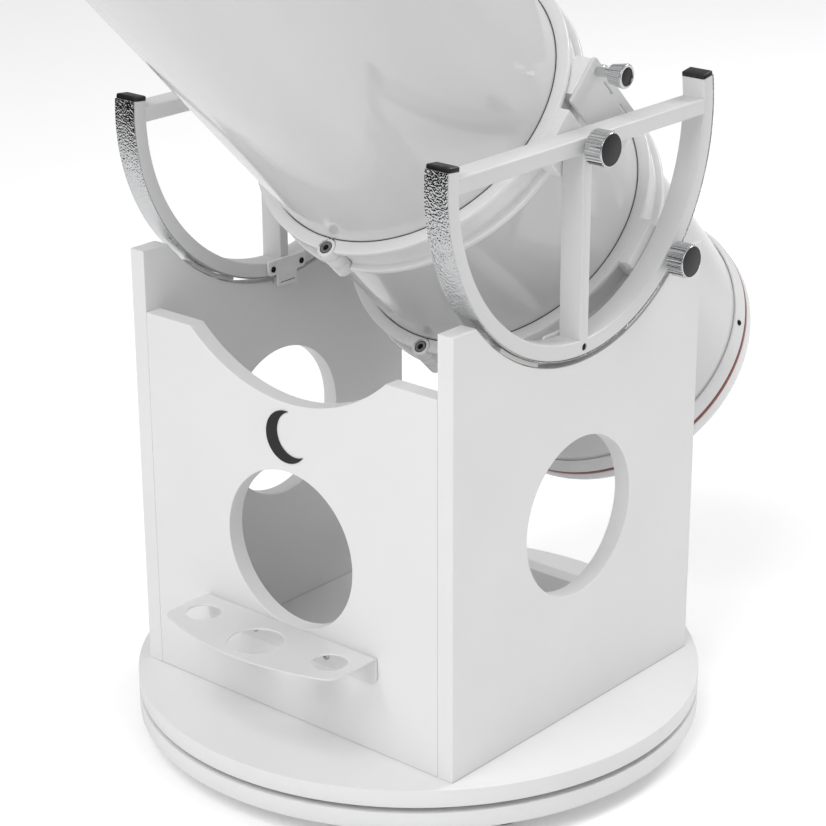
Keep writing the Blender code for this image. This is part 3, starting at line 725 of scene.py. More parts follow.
def copies_tree() -> bpy.types.NodeTree:
    """Tree that stands a copy of a piece on each point, along its "facing" vector and turned by "spin"."""
    found = bpy.data.node_groups.get("copies_on_points")
    if found:
        return found
    tree = bpy.data.node_groups.new("copies_on_points", "GeometryNodeTree")
    group_input(tree, "Points", "NodeSocketGeometry")
    group_input(tree, "Piece", "NodeSocketObject")
    group_input(tree, "Size", "NodeSocketFloat", 1.0)
    group_input(tree, "Finish", "NodeSocketMaterial")
    tree.interface.new_socket(name="Copies", in_out="OUTPUT", socket_type="NodeSocketGeometry")
    source = add_node(tree, "NodeGroupInput")
    points = add_node(tree, "GeometryNodeMeshToPoints", {"Mesh": (source, "Points")})
    piece = add_node(tree, "GeometryNodeObjectInfo", {"Object": (source, "Piece")})
    facing = add_node(tree, "GeometryNodeInputNamedAttribute", {"Name": "facing"}, data_type="FLOAT_VECTOR")
    spin = add_node(tree, "GeometryNodeInputNamedAttribute", {"Name": "spin"}, data_type="FLOAT")
    aim = add_node(tree, "FunctionNodeAlignRotationToVector", {"Vector": (facing, 0)}, axis="Z")
    whirl = add_node(tree, "FunctionNodeAxisAngleToRotation", {"Axis": (0, 0, 1), "Angle": (spin, 0)})
    both = add_node(tree, "FunctionNodeRotateRotation", {0: (aim, 0), 1: (whirl, 0)}, rotation_space="LOCAL")
    copies = add_node(tree, "GeometryNodeInstanceOnPoints", {
        "Points": (points, 0), "Instance": (piece, "Geometry"), "Rotation": (both, 0),
        "Scale": (source, "Size")})
    real = add_node(tree, "GeometryNodeRealizeInstances", {0: (copies, 0)})
    look = add_node(tree, "GeometryNodeSetMaterial", {"Geometry": (real, 0), "Material": (source, "Finish")})
    add_node(tree, "NodeGroupOutput", {0: (look, 0)})
    return tree


def ribs_tree() -> bpy.types.NodeTree:
    """Tree that sets round ribs or rollers on a circle, upright or lying along its radius."""
    found = bpy.data.node_groups.get("ribs_round_circle")
    if found:
        return found
    tree = bpy.data.node_groups.new("ribs_round_circle", "GeometryNodeTree")
    group_input(tree, "Base", "NodeSocketGeometry")
    for name, default in (("Circle", 0.01), ("Thickness", 0.001), ("Length", 0.01), ("Height", 0.0),
                          ("Lean", 0.0)):
        group_input(tree, name, "NodeSocketFloat", default)
    group_input(tree, "Count", "NodeSocketInt", 24)
    group_input(tree, "Finish", "NodeSocketMaterial")
    tree.interface.new_socket(name="Ribs", in_out="OUTPUT", socket_type="NodeSocketGeometry")
    source = add_node(tree, "NodeGroupInput")
    ring = add_node(tree, "GeometryNodeMeshCircle",
                    {"Vertices": (source, "Count"), "Radius": (source, "Circle")})
    rib = add_node(tree, "GeometryNodeMeshCylinder", {"Vertices": 10, "Radius": (source, "Thickness"),
                                                      "Depth": (source, "Length")}, fill_type="NGON")
    place = add_node(tree, "GeometryNodeInputPosition")
    aim = add_node(tree, "FunctionNodeAlignRotationToVector", {"Vector": (place, 0)}, axis="X")
    lean = add_node(tree, "FunctionNodeAxisAngleToRotation", {"Axis": (0, 1, 0), "Angle": (source, "Lean")})
    both = add_node(tree, "FunctionNodeRotateRotation", {0: (aim, 0), 1: (lean, 0)},
                    rotation_space="LOCAL")
    ribs = add_node(tree, "GeometryNodeInstanceOnPoints", {"Points": (ring, 0), "Instance": (rib, 0),
                                                           "Rotation": (both, 0)})
    height = add_node(tree, "ShaderNodeCombineXYZ", {"Z": (source, "Height")})
    lifted = add_node(tree, "GeometryNodeTransform", {"Geometry": (ribs, 0), "Translation": (height, 0)})
    real = add_node(tree, "GeometryNodeRealizeInstances", {0: (lifted, 0)})
    look = add_node(tree, "GeometryNodeSetMaterial", {"Geometry": (real, 0), "Material": (source, "Finish")})
    add_node(tree, "NodeGroupOutput", {0: (look, 0)})
    return tree


def grown(name: str, base: bpy.types.Object, tree: bpy.types.NodeTree, values: dict) -> bpy.types.Object:
    """Runs a geometry tree on a base object and returns the result as a plain mesh.

    Args:
        name: the result's name.
        base: the object that carries the tree, which is removed.
        tree: the geometry tree.
        values: input name to value.

    Returns:
        The plain mesh object.
    """
    step = base.modifiers.new("grow", "NODES")
    step.node_group = tree
    names = {item.name: item.identifier for item in tree.interface.items_tree if item.in_out == "INPUT"}
    for key, value in values.items():
        step[names[key]] = value
    graph = bpy.context.evaluated_depsgraph_get()
    graph.update()
    mesh = bpy.data.meshes.new_from_object(base.evaluated_get(graph))
    bpy.data.objects.remove(base, do_unlink=True)
    mesh.shade_smooth()
    mesh.set_sharp_from_angle(angle=SHARP)
    return linked(name, mesh)


def copies(name: str, piece: bpy.types.Object, spots: Sequence[tuple], finish: Finish) -> bpy.types.Object:
    """Copies of one piece at several spots.

    Args:
        name: the result's name.
        piece: the pattern piece, along local Z, which is removed.
        spots: (position, direction, spin in radians) of each copy.
        finish: their finish.

    Returns:
        The object with all copies.
    """
    mesh = bpy.data.meshes.new(name + "_points")
    mesh.from_pydata([tuple(spot[0]) for spot in spots], [], [])
    for label, kind in (("facing", "FLOAT_VECTOR"), ("spin", "FLOAT")):
        mesh.attributes.new(label, kind, "POINT")
    facing, spin = mesh.attributes["facing"], mesh.attributes["spin"]
    for i, (_, direction, angle) in enumerate(spots):
        facing.data[i].vector = tuple(direction)
        spin.data[i].value = angle
    base = linked(name + "_base", mesh)
    made = grown(name, base, copies_tree(), {"Piece": piece, "Size": 1.0, "Finish": finish.material()})
    bpy.data.objects.remove(piece, do_unlink=True)
    return made


def ribs(name: str, circle_r: float, thickness: float, length: float, height: float, count: int,
         finish: Finish, lean: float = 0.0) -> bpy.types.Object:
    """Round ribs on a circle about Z.

    Args:
        name: the result's name.
        circle_r: radius of the circle through their middles.
        thickness: radius of a rib.
        length: length of a rib.
        height: z of their middles.
        count: number of ribs.
        finish: their finish.
        lean: outward lean of each rib's upper end, in radians.

    Returns:
        The object with all ribs.
    """
    base = linked(name + "_base", bpy.data.meshes.new(name + "_base"))
    return grown(name, base, ribs_tree(), {"Circle": circle_r, "Thickness": thickness, "Length": length,
                                           "Height": height, "Count": count, "Lean": lean,
                                           "Finish": finish.material()})


def screw_head(radius: float, height: float, recess: float) -> bpy.types.Object:
    """A pan head with a cross recess, its seat at z = 0.

    Args:
        radius: head radius.
        height: head height.
        recess: half length of the cross.

    Returns:
        The head.
    """
    dome = [(0, -0.0002), (radius, -0.0002), (radius, height * 0.45), (radius * 0.8, height * 0.85),
            (0, height)]
    head = lathe("head", rounded(dome, height * 0.25, 3, False), 28)
    for turn in (0, 90):
        slot = block("slot", (-recess, recess), (-recess * 0.22, recess * 0.22),
                     (height * 0.35, height * 2), 0)
        head = cut(head, placed(slot, Matrix.Rotation(math.radians(turn), 4, "Z")))
    return head


# ---------------------------------------------------------------- knobs
@dataclass
class Knob:
    """A turned knob with a ribbed rim and a black inlaid face, along local Z.

    Attributes:
        shank: (radius, lowest z, highest z).
        neck: (radius, highest z); it starts where the shank ends.
        rim: (radius at the neck, radius at the face, lowest z, highest z).
        ribs: number of ribs on the rim.
        rib_r: radius of one rib.
        face_r: radius of the black inlay.
        sunk: how far the inlay lies below the rim.
    """

    shank: tuple[float, float, float]
    neck: Point
    rim: tuple[float, float, float, float]
    ribs: int
    rib_r: float
    face_r: float
    sunk: float = 0.0004

    def build(self, name: str, place: Matrix, finish: Finish = CHROME,
              face: Finish = BLACK_ABS) -> bpy.types.Object:
        """Builds the knob.

        Args:
            name: the object's name.
            place: where local Z and the origin go.
            finish: finish of the metal.
            face: finish of the inlay.

        Returns:
            The knob.
        """
        near, far, low, high = self.rim
        core_near, core_far = near - self.rib_r, far - self.rib_r
        edge = 0.0004
        profile = [
            (0, self.shank[1]), (self.shank[0], self.shank[1]), (self.shank[0], self.shank[2]),
            (self.neck[0], self.shank[2]), (self.neck[0], self.neck[1]), (core_near - 0.0012, low),
            (core_near, low + 0.0012), (core_far, high - edge), (core_far - edge, high), (self.face_r, high),
            (self.face_r, high - 0.0012), (0, high - 0.0012),
        ]
        metal = dressed(lathe("metal", rounded(profile, 0.0003, 2, False), 72), finish)
        inlay = [(0, high - 0.0012), (self.face_r - 0.0001, high - 0.0012),
                 (self.face_r - 0.0001, high - self.sunk), (0, high - self.sunk)]
        disc = dressed(lathe("inlay", rounded(inlay, 0.0003, 3, False), 56), face)
        length = high - low - 0.0022
        lean = math.atan2(far - near, length)
        middle = (core_near + core_far) / 2
        rim = ribs("rim", middle, self.rib_r, length, (low + high) / 2, self.ribs, finish, lean)
        return placed(joined(name, metal, disc, rim), place)


# ---------------------------------------------------------------- base and rocker box
@dataclass
class RoundBoard:
    """A round laminated board with an edge strip and a hairline of glue at each face.

    Attributes:
        node: its CAD node.
        body: the body it rides on.
        hole: radius of its centre hole.
        count: number of steps round.
    """

    node: str
    body: str
    hole: float
    count: int = 256

    def build(self) -> None:
        """Builds the board over its CAD node."""
        low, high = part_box(self.node)
        radius, z0, z1 = high[0], low[2], high[2]
        edge, line = 0.7 * MM, 1.0 * MM
        profile = [
            (self.hole, z0), (radius - edge - line, z0), (radius - edge, z0),
            (radius - edge * 0.3, z0 + edge * 0.3), (radius, z0 + edge), (radius, z1 - edge),
            (radius - edge * 0.3, z1 - edge * 0.3), (radius - edge, z1), (radius - edge - line, z1),
            (self.hole, z1),
        ]
        board = lathe(self.node + "_skin", profile, self.count, (0, 1, 2, 2, 2, 2, 2, 1, 0, 0))
        fitted(dressed(board, *BOARD), self.body, "white_laminate", self.node)


@dataclass
class Base:
    """The fixed base: lower board, feet, roller ring and pivot.

    Attributes:
        rollers: number of rollers in the azimuth bearing.
        foot_steps: steps round each foot.
    """

    rollers: int = 48
    foot_steps: int = 48

    def build(self) -> None:
        """Builds the base's pieces."""
        RoundBoard("ground_board", "ground", 0.0053).build()
        for word in ("left", "right", "rear"):
            self.foot("foot_" + word)
        self.bearing()
        self.pivot()

    def foot(self, node: str) -> None:
        """Builds one moulded foot with its screw."""
        low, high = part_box(node)
        x, y, top = (low[0] + high[0]) / 2, (low[1] + high[1]) / 2, high[2]
        r = (high[0] - low[0]) / 2 * 0.985
        profile = [(0, 0.006), (0.006, 0.006), (0.006, 0), (r * 0.78, 0), (r * 0.9, 0.003), (r, top),
                   (0, top)]
        pad = dressed(turned("pad", profile, 0.0012, self.foot_steps), RUBBER)
        downwards = Matrix.Translation((0, 0, 0.006)) @ Matrix.Rotation(math.radians(180), 4, "X")
        screw = dressed(placed(screw_head(0.0050, 0.0026, 0.0028), downwards), ZINC)
        foot = placed(joined(node + "_skin", pad, screw), Matrix.Translation((x, y, 0)))
        fitted(foot, "ground", "rubber", node)

    def bearing(self) -> None:
        """Builds the flat roller ring: a cage and its rollers."""
        low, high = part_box("azimuth_bearing")
        outer, inner = high[0], high[0] - 0.040
        middle, z = (outer + inner) / 2, (low[2] + high[2]) / 2
        thick = 0.0009
        cage = [(inner, z - thick), (outer, z - thick), (outer, z + thick), (inner, z + thick)]
        ring = dressed(turned("cage", cage, 0.0003, 128), NYLON)
        roller = ribs("rollers", middle, (high[2] - low[2]) / 2, 0.026, z, self.rollers, ZINC,
                      math.radians(90))
        fitted(joined("azimuth_bearing_skin", ring, roller), "ground", "white_nylon", "azimuth_bearing")

    def pivot(self) -> None:
        """Builds the pivot bolt and the knob that holds the two boards together."""
        low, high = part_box("pivot_bolt")
        head_top = low[2] + 0.0072
        hexagon = panel("head", circle((0, 0), 0.0099, 6), (low[2], head_top), edge=0.0006)
        shank = turned("shank", [(0, head_top - 0.001), (0.0049, head_top - 0.001), (0.0049, high[2] - 0.001),
                                 (0.0041, high[2]), (0, high[2])], 0.0003, 40)
        bolt = joined("pivot_bolt_skin", dressed(hexagon, ZINC), dressed(shank, ZINC))
        fitted(bolt, "ground", "zinc_steel", "pivot_bolt")
        low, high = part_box("pivot_knob")
        r, z0, z1 = high[0], low[2], high[2]
        profile = [(0.0056, z0), (0.013, z0), (0.013, z0 + 0.005), (r, z0 + 0.006), (r, z0 + 0.018),
                   (r - 0.003, z1), (0.0056, z1)]
        grip = turned("pivot_knob_skin", profile, 0.0012, 160, flutes=(8, 0.0028, (z0 + 0.0055, z1)))
        fitted(dressed(grip, BLACK_ABS), "pivot_knob", "black_plastic", "pivot_knob")


@dataclass
class RockerBox:
    """The turning box: upper board, three upright boards, rear board, pads and the eyepiece tray.

    Attributes:
        hole_r: radius of the hand holes.
        side_hole_z: height of the side holes.
        front_hole_z: height of the front hole.
        cradle_r: radius of the arc cut in the side boards, about the altitude axis.
        front_arc: (height of the centre, radius) of the front board's arc.
        edge: width of the boards' broken edges.
        line: width of the glue hairline.
        arc_steps: steps of an arc or hole.
    """

    hole_r: float = 0.080
    side_hole_z: float = 0.2708
    front_hole_z: float = 0.2406
    cradle_r: float = 0.2022
    front_arc: Point = (0.573, 0.183)
    edge: float = 0.5 * MM
    line: float = 1.4 * MM
    arc_steps: int = 96

    def build(self) -> None:
        """Builds the box's pieces."""
        RoundBoard("turntable_board", "rocker", 0.0055).build()
        for side in (1, -1):
            self.side_board(side)
        self.front_board()
        self.rear_board()
        self.pads()
        Tray().build()
        self.emblem()

    def notched(self, half: float, low: float, high: float, centre: float, radius: float) -> list[Point]:
        """Outline of an upright board with an arc taken out of its top.

        Args:
            half: half width.
            low: z of the bottom.
            high: z of the top.
            centre: z of the arc's centre.
            radius: the arc's radius.

        Returns:
            The outline, anticlockwise.
        """
        reach = math.degrees(math.acos((centre - high) / radius))
        notch = arc((0, centre), radius, -90 + reach, -90 - reach, self.arc_steps)
        return [(-half, low), (half, low), (half, high)] + notch + [(-half, high)]

    def side_board(self, side: int) -> None:
        """Builds one side board."""
        node = word_of(side) + "_side_board"
        low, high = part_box(node)
        outline = self.notched(high[1], low[2], high[2], ALT_Z, self.cradle_r)
        hole = circle((0, self.side_hole_z), self.hole_r, self.arc_steps)
        board = placed(panel(node + "_skin", outline, (low[0], high[0]), [hole], self.edge, self.line),
                       UPRIGHT)
        fitted(dressed(board, *BOARD), "rocker", "white_laminate", node)

    def front_board(self) -> None:
        """Builds the front board."""
        low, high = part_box("front_board")
        outline = self.notched(high[0], low[2], high[2], *self.front_arc)
        hole = circle((0, self.front_hole_z), self.hole_r, self.arc_steps)
        board = panel("front_board_skin", outline, (-high[1], -low[1]), [hole], self.edge, self.line)
        placed(board, FACING_FRONT)
        fitted(dressed(board, *BOARD), "rocker", "white_laminate", "front_board")

    def rear_board(self) -> None:
        """Builds the low rear board."""
        low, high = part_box("rear_stretcher")
        outline = rectangle((low[0], high[0]), (low[2], high[2]))
        board = panel("rear_stretcher_skin", outline, (-high[1], -low[1]), (), self.edge, self.line)
        placed(board, FACING_FRONT)
        fitted(dressed(board, *BOARD), "rocker", "white_laminate", "rear_stretcher")

    def pads(self) -> None:
        """Builds the four altitude pads, each an arc with rounded edges."""
        for side in (1, -1):
            for sign, word in ((-1, "front"), (1, "rear")):
                node = f"altitude_pad_{word_of(side)}_{word}"
                low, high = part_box(node)
                section = rectangle((0.1971, 0.2017), (low[0], high[0]), 0.0006, 2)
                start, end = sorted((-90 + sign * 19.5, -90 + sign * 37.1))
                pad = sweep(node + "_skin", section, start, end, 20)
                placed(pad, AXLE @ UPRIGHT)
                fitted(dressed(pad, NYLON), "rocker", "white_nylon", node)

    def emblem(self) -> None:
        """Gives the printed crescent its smooth outline."""
        low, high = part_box("front_emblem")
        x, z = low[0] + 0.026, (low[2] + high[2]) / 2
        bite = Vector((0.0105, 0.0045))
        meet = (0.026 ** 2 - 0.0225 ** 2 + bite.length_squared) / (2 * bite.length)
        lean = math.atan2(bite.y, bite.x)
        outer = math.acos(meet / 0.026)
        inner = math.acos((meet - bite.length) / 0.0225)
        crescent = arc((x, z), 0.026, math.degrees(lean + outer), math.degrees(lean - outer) + 360, 72)
        back = arc((x + bite.x, z + bite.y), 0.0225, math.degrees(lean - inner) + 360,
                   math.degrees(lean + inner), 64)
        mark = panel("front_emblem_skin", crescent[1:-1] + back, (-high[1], -low[1]), edge=0.0001)
        placed(mark, FACING_FRONT)
        fitted(dressed(mark, PRINT_INK), "rocker", "black_plastic", "front_emblem")


@dataclass
class Tray:
    """The bent steel eyepiece tray and its two screws.

    Attributes:
        sheet: thickness of the sheet.
        bend_r: inside radius of the bend.
        wide: (y of the centre, radius) of the middle hole.
        narrow: (x, y, radius) of the outer holes.
        screws: (x, z) of the right-hand screw.
    """

    sheet: float = 0.0018
    bend_r: float = 0.0020
    wide: Point = (-0.2352, 0.027)
    narrow: tuple[float, float, float] = (0.083, -0.223, 0.017)
    screws: Point = (0.047, 0.145)

    def outline(self, half: float, back: float, front: float) -> list[Point]:
        """Shelf outline: straight behind, bowed in front, rounded at the front corners.

        Args:
            half: half width.
            back: y of the bend.
            front: y of the middle of the bow.

        Returns:
            The outline, anticlockwise.
        """
        bow = [(x, front + 0.0185 * (x / 0.0985) ** 2) for x in (k * 0.0985 / 12 for k in range(12, -1, -1))]
        corner = [(half, -0.2400), (half - 0.0005, -0.2428), (half - 0.0016, -0.2455),
                  (half - 0.0034, -0.2482), (half - 0.0060, -0.2505), (half - 0.0092, -0.2522)]
        right = [(half, back)] + corner + bow
        return [(-x, y) for x, y in right] + list(reversed(right[:-1]))

    def build(self) -> None:
        """Builds the shelf, its bend and its flange as one bent sheet, and the screws."""
        low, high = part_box("eyepiece_tray")
        half, face, top = high[0], -0.1873, high[2]
        outer = self.bend_r + self.sheet
        shelf = panel("shelf", self.outline(half, face - outer, low[1]), (top - self.sheet, top), [
            circle((-self.narrow[0], self.narrow[1]), self.narrow[2], 64),
            circle((0, self.wide[0]), self.wide[1], 80),
            circle((self.narrow[0], self.narrow[1]), self.narrow[2], 64)], 0.0004)
        corners = [(-half, low[2]), (half, low[2]), (half, top - outer), (-half, top - outer)]
        flange = panel("flange", rounded(corners, [0.010, 0.010, 0, 0], 10), (-face, -face + self.sheet),
                       (), 0.0004)
        placed(flange, FACING_FRONT)
        section = [(self.bend_r, -half + 0.0004), (outer, -half + 0.0004), (outer, half - 0.0004),
                   (self.bend_r, half - 0.0004)]
        bend = sweep("bend", section, -2, 92, 12)
        placed(bend, Matrix.Translation((0, face - outer, top - outer)) @ UPRIGHT)
        head = screw_head(0.0041, 0.0019, 0.0022)
        spots = [((x, face - self.sheet, self.screws[1]), (0, -1, 0), 0.4 + x * 9)
                 for x in (-self.screws[0], self.screws[0])]
        screws = copies("screws", head, spots, ZINC)
        tray = joined("eyepiece_tray_skin", dressed(shelf, POWDER_COAT), dressed(flange, POWDER_COAT),
                      dressed(bend, POWDER_COAT), screws)
        fitted(tray, "rocker", "white_enamel", "eyepiece_tray")


# ---------------------------------------------------------------- altitude frames
@dataclass
class AltitudeFrame:
    """One half-ring frame with its bar, post, plated band, plugs and guide plate.

    Attributes:
        side: 1 for right, -1 for left.
        inner: inside radius of the ring.
        outer: outside radius of the ring.
        reach: angles of the front and rear ends, in degrees from straight down.
        corner: corner radius of the rectangular tube.
        bar: z range of the cross bar, from the altitude axis.
        post: half width of the post.
        steps: steps along the ring.
    """

    side: int
    inner: float = 0.1805
    outer: float = 0.1955
    reach: Point = (-95.3, 99.5)
    corner: float = 0.0018
    bar: Point = (-0.0038, 0.0112)
    post: float = 0.006
    steps: int = 144

    def build(self) -> None:
        """Builds the frame's pieces."""
        self.frame()
        self.band()
        for end in (0, 1):
            self.plug(end)
        self.guide_plate()

    def frame(self) -> None:
        """Builds the welded frame."""
        node = word_of(self.side) + "_frame"
        low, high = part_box(node)
        x = (low[0], high[0])
        section = rectangle((self.inner, self.outer), x, self.corner, 4)
        ring = placed(sweep("ring", section, -90 + self.reach[0], -90 + self.reach[1], self.steps), UPRIGHT)
        outside = x[1] if self.side > 0 else x[0]
        hole = lathe("hole", [(0, -0.006), (0.0036, -0.006), (0.0036, 0.006), (0, 0.006)], 32)
        placed(hole, Matrix.Translation((outside, 0, -0.1880)) @ side_matrix(1))
        cut(ring, hole)
        # A black disc sunk 1.4 mm into the bolt hole: painted shade that makes the hole read dark and deep.
        depth = outside - self.side * 0.0014
        well = lathe("well", [(0, -0.0002), (0.0035, -0.0002), (0.0035, 0.0002), (0, 0.0002)], 24)
        placed(well, Matrix.Translation((depth, 0, -0.1880)) @ side_matrix(1))
        inside = (x[0] + 0.0003, x[1] - 0.0003)
        across = self.inner + 0.003
        bar = block("bar", inside, (-across, across), self.bar, self.corner * 0.8, 3)
        post = block("post", inside, (-self.post, self.post), (-across, self.bar[0] + 0.004),
                     self.corner * 0.8, 3)
        # The black-oxide disc in the bolt hole is painted shade.
        made = joined(node + "_skin", dressed(ring, POWDER_COAT), dressed(bar, POWDER_COAT),
                      dressed(post, POWDER_COAT), dressed(well, BLACK_OXIDE))
        fitted(placed(made, AXLE), "cradle", "white_enamel", node)

    def band(self) -> None:
        """Builds the hammered band and its end screws."""
        node = word_of(self.side) + "_bearing_band"
        low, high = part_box(node)
        inner, outer = self.outer + 0.0002, ALT_Z - low[2]
        section = rectangle((inner, outer), (low[0], high[0]), 0.0003, 2)
        looks = [0 if (r > outer - 0.00031 and section[(i + 1) % len(section)][0] > outer - 0.00031) else 1
                 for i, (r, _) in enumerate(section)]
        strip = sweep("strip", section, -90 + self.reach[0], -90 + self.reach[1], self.steps, looks)
        dressed(placed(strip, UPRIGHT), HAMMERED_CHROME, RAW_EDGE)
        spots = []
        for end, sign in ((self.reach[0], 1), (self.reach[1], -1)):
            turn = math.radians(-90 + end + sign * 3.0)
            out = (0.0, math.cos(turn), math.sin(turn))
            for x in (low[0] + 0.0065, high[0] - 0.0065):
                seat = outer - 0.0003
                spots.append(((x, out[1] * seat, out[2] * seat), out, 0.6 + 30 * x))
        screws = copies("screws", screw_head(0.0026, 0.0003, 0.0012), spots, BLACK_OXIDE)
        made = placed(joined(node + "_skin", strip, screws), AXLE)
        fitted(made, "cradle", "chrome", node)

    def plug(self, end: int) -> None:
        """Builds one domed plug.

        Args:
            end: 0 for the front end, 1 for the rear end.
        """
        node = f"end_cap_{word_of(self.side)}_{('front', 'rear')[end]}"
        low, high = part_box(node)
        half = (high[0] - low[0]) / 2
        outline = rectangle((-half, half), (self.inner + 0.0001, self.outer - 0.0001), 0.0016, 4)
        layers = [(0.0, 0.0003), (0.0, 0.0032), (0.0003, 0.0039), (0.0008, 0.0043), (0.0014, 0.0046)]
        turn = math.radians(-90 + self.reach[end])
        sign = 1 if end else -1
        columns = ((sign, 0, 0), (0, math.cos(turn), math.sin(turn)),
                   (0, -sign * math.sin(turn), sign * math.cos(turn)))
        place = Matrix(columns).transposed().to_4x4()
        middle = Matrix.Translation(((low[0] + high[0]) / 2, 0, 0))
        cap = placed(stack(node + "_skin", outline, layers), AXLE @ middle @ place)
        fitted(dressed(cap, BLACK_ABS), "cradle", "black_plastic", node)

    def guide_plate(self) -> None:
        """Builds the T-shaped guide plate with its screws."""
        node = word_of(self.side) + "_guide_plate"
        low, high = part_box(node)
        outline = [(-0.027, -0.1775), (-0.027, -0.1930), (-0.0145, -0.1935), (-0.0145, -0.2070)]
        outline += [(-y, z) for y, z in reversed(outline)]
        outline = rounded(outline, [0.0030, 0.0035, 0.0008, 0.0025, 0.0025, 0.0008, 0.0035, 0.0030], 5)
        face = 0.1740
        plate = placed(panel("plate", outline, span(self.side, face, 0.1770), (), 0.0005), UPRIGHT)
        shoe = block("shoe", span(self.side, 0.1763, 0.1836), (-0.0115, 0.0115), (-0.2060, -0.1985), 0.0006)
        # A black strip flush with the plate's face: painted shade for the dark inside of a slot.
        slot = block("slot", span(self.side, face - 0.00004, face + 0.0005), (-0.0105, 0.0105),
                     (-0.2030, -0.2022), 0)
        inward = (-self.side, 0, 0)
        heads = [((self.side * face, y, -0.1865), inward, 0.5 + y * 40) for y in (-0.0205, 0.0205)]
        screws = copies("screws", screw_head(0.0032, 0.0014, 0.0018), heads, BLACK_OXIDE)
        stud = turned("stud", [(0, -0.0002), (0.0016, -0.0002), (0.0016, 0.0006), (0, 0.0006)], 0.0002, 24)
        placed(stud, Matrix.Translation((self.side * face, 0, -0.1965)) @ side_matrix(-self.side))
        # The black-oxide strip named slot is painted shade.
        made = joined(node + "_skin", dressed(plate, CAST_PAINT), dressed(shoe, CAST_PAINT),
                      dressed(slot, BLACK_OXIDE), dressed(stud, CAST_PAINT), screws)
        fitted(placed(made, AXLE), "cradle", "white_enamel", node)


# ---------------------------------------------------------------- tube rings and rail
@dataclass
class TubeRing:
    """One hinged tube ring: two channel-section halves, hinge, pads, lugs and a felt lining whose dark rim at
    the tube is painted shade.

    Attributes:
        word: upper or lower.
        s: place of its middle along the tube axis.
        inner: inside radius.
        floor: radius of the channel's floor.
        outer: radius of the flanges.
        half: half width.
        flange: thickness of a flange.
        hinge: (radius of the hinge axis, radius of a knuckle).
        steps: steps round each half.
    """

    word: str
    s: float
    inner: float = 0.1534
    floor: float = 0.1585
    outer: float = 0.1660
    half: float = 0.0186
    flange: float = 0.0060
    hinge: Point = (0.1635, 0.0095)
    steps: int = 120

    def section(self) -> list[Point]:
        """The channel section with its edges rounded."""
        h, t = self.half, self.flange
        corners = [(self.inner, -h), (self.outer, -h), (self.outer, -h + t), (self.floor, -h + t),
                   (self.floor, h - t), (self.outer, h - t), (self.outer, h), (self.inner, h)]
        return rounded(corners, [0.0008, 0.0014, 0.0014, 0.0022, 0.0022, 0.0014, 0.0014, 0.0008], 4)

    def barrel(self, name: str, low: float, high: float, radius: float,
               edge: float = 0.0006) -> bpy.types.Object:
        """A round piece on the hinge axis.

        Args:
            name: the object's name.
            low: lowest s.
            high: highest s.
            radius: its radius.
            edge: edge radius.

        Returns:
            The object.
        """
        profile = [(0, low), (radius, low), (radius, high), (0, high)]
        return placed(turned(name, profile, edge, 48), Matrix.Translation((0, -self.hinge[0], 0)))

    def build(self) -> None:
        """Builds both halves."""
        for side in (1, -1):
            self.half_ring(side)

    def half_ring(self, side: int) -> None:
        """Builds one half with what is cast on it.

        Args:
            side: 1 for right, -1 for left.
        """
        node = f"{self.word}_ring_{word_of(side)}"
        start, end = (-89.2, 89.2) if side > 0 else (90.8, 269.2)
        ring = sweep("ring", self.section(), start, end, self.steps)
        third, gap = self.half / 3, 0.0003
        mine = ((-third, third),) if side > 0 else ((-self.half, -third - gap), (third + gap, self.half))
        beyond = self.half + 0.002
        other = ((-beyond, -third), (third, beyond)) if side > 0 else ((-third - gap, third + gap),)
        for low, high in other:
            cut(ring, self.barrel("room", low, high, self.hinge[1] + 0.0008, 0.00001))
        pieces = [dressed(ring, CAST_PAINT)]
        for low, high in mine:
            pieces.append(dressed(self.barrel("knuckle", low, high, self.hinge[1]), CAST_PAINT))
        pieces += self.hinge_screw(side)
        inset_half = self.half - 0.0004
        pad = block("pad", span(side, 0.1560, 0.1770), (-0.025, 0.025), (-inset_half, inset_half), 0.0014, 3)
        lug = block("lug", span(side, 0.0020, 0.0110), (0.1545, 0.1850), (-0.0115, 0.0115), 0.0016, 3)
        pieces += [dressed(pad, CAST_PAINT), dressed(lug, CAST_PAINT)]
        if side > 0 and self.word == "upper":
            boss = block("boss", (0.1478, 0.1657), (0.0440, 0.0840), (-0.0118, 0.0118), 0.0010)
            pieces.append(dressed(boss, CAST_PAINT))
        # Felt lining that stands 0.4 mm past the ring on both sides: its dark rim on the tube is painted
        # shade for the contact gap.
        felt = [(0.15305, -self.half - 0.0004), (0.1537, -self.half - 0.0004), (0.1537, self.half + 0.0004),
                (0.15305, self.half + 0.0004)]
        pieces.append(dressed(sweep("felt", felt, start, end, self.steps), FELT_AND_GAP_SHADE))
        made = placed(joined(node + "_skin", *pieces), OTA @ Matrix.Translation((0, 0, self.s)))
        fitted(made, "cradle", "white_casting", node)

    def hinge_screw(self, side: int) -> list[bpy.types.Object]:
        """The socket screw seen in the ends of the hinge, on the left half, over a black disc of painted
        shade for the bore round it.

        Args:
            side: 1 for right, -1 for left.

        Returns:
            Its pieces.
        """
        if side > 0:
            return []
        pieces = []
        for sign in (1, -1):
            end = sign * self.half
            low, high = sorted((end - sign * 0.0005, end + sign * 0.00015))
            # The black disc behind the socket rim is painted shade: it darkens the bore round the screw head
            # and the bottom of the hex socket.
            seat = dressed(self.barrel("seat", low, high, 0.0064, 0.0001), BLACK_OXIDE)
            socket = circle((0, 0), 0.0056, 48)
            rim = panel("rim", socket, (0, 0.0005), [circle((0, 0), 0.0033, 6)], 0.0002)
            turn = Matrix.Identity(4) if sign > 0 else Matrix.Rotation(math.radians(180), 4, "X")
            placed(rim, Matrix.Translation((0, -self.hinge[0], end)) @ turn)
            pieces += [seat, dressed(rim, ZINC)]
        return pieces


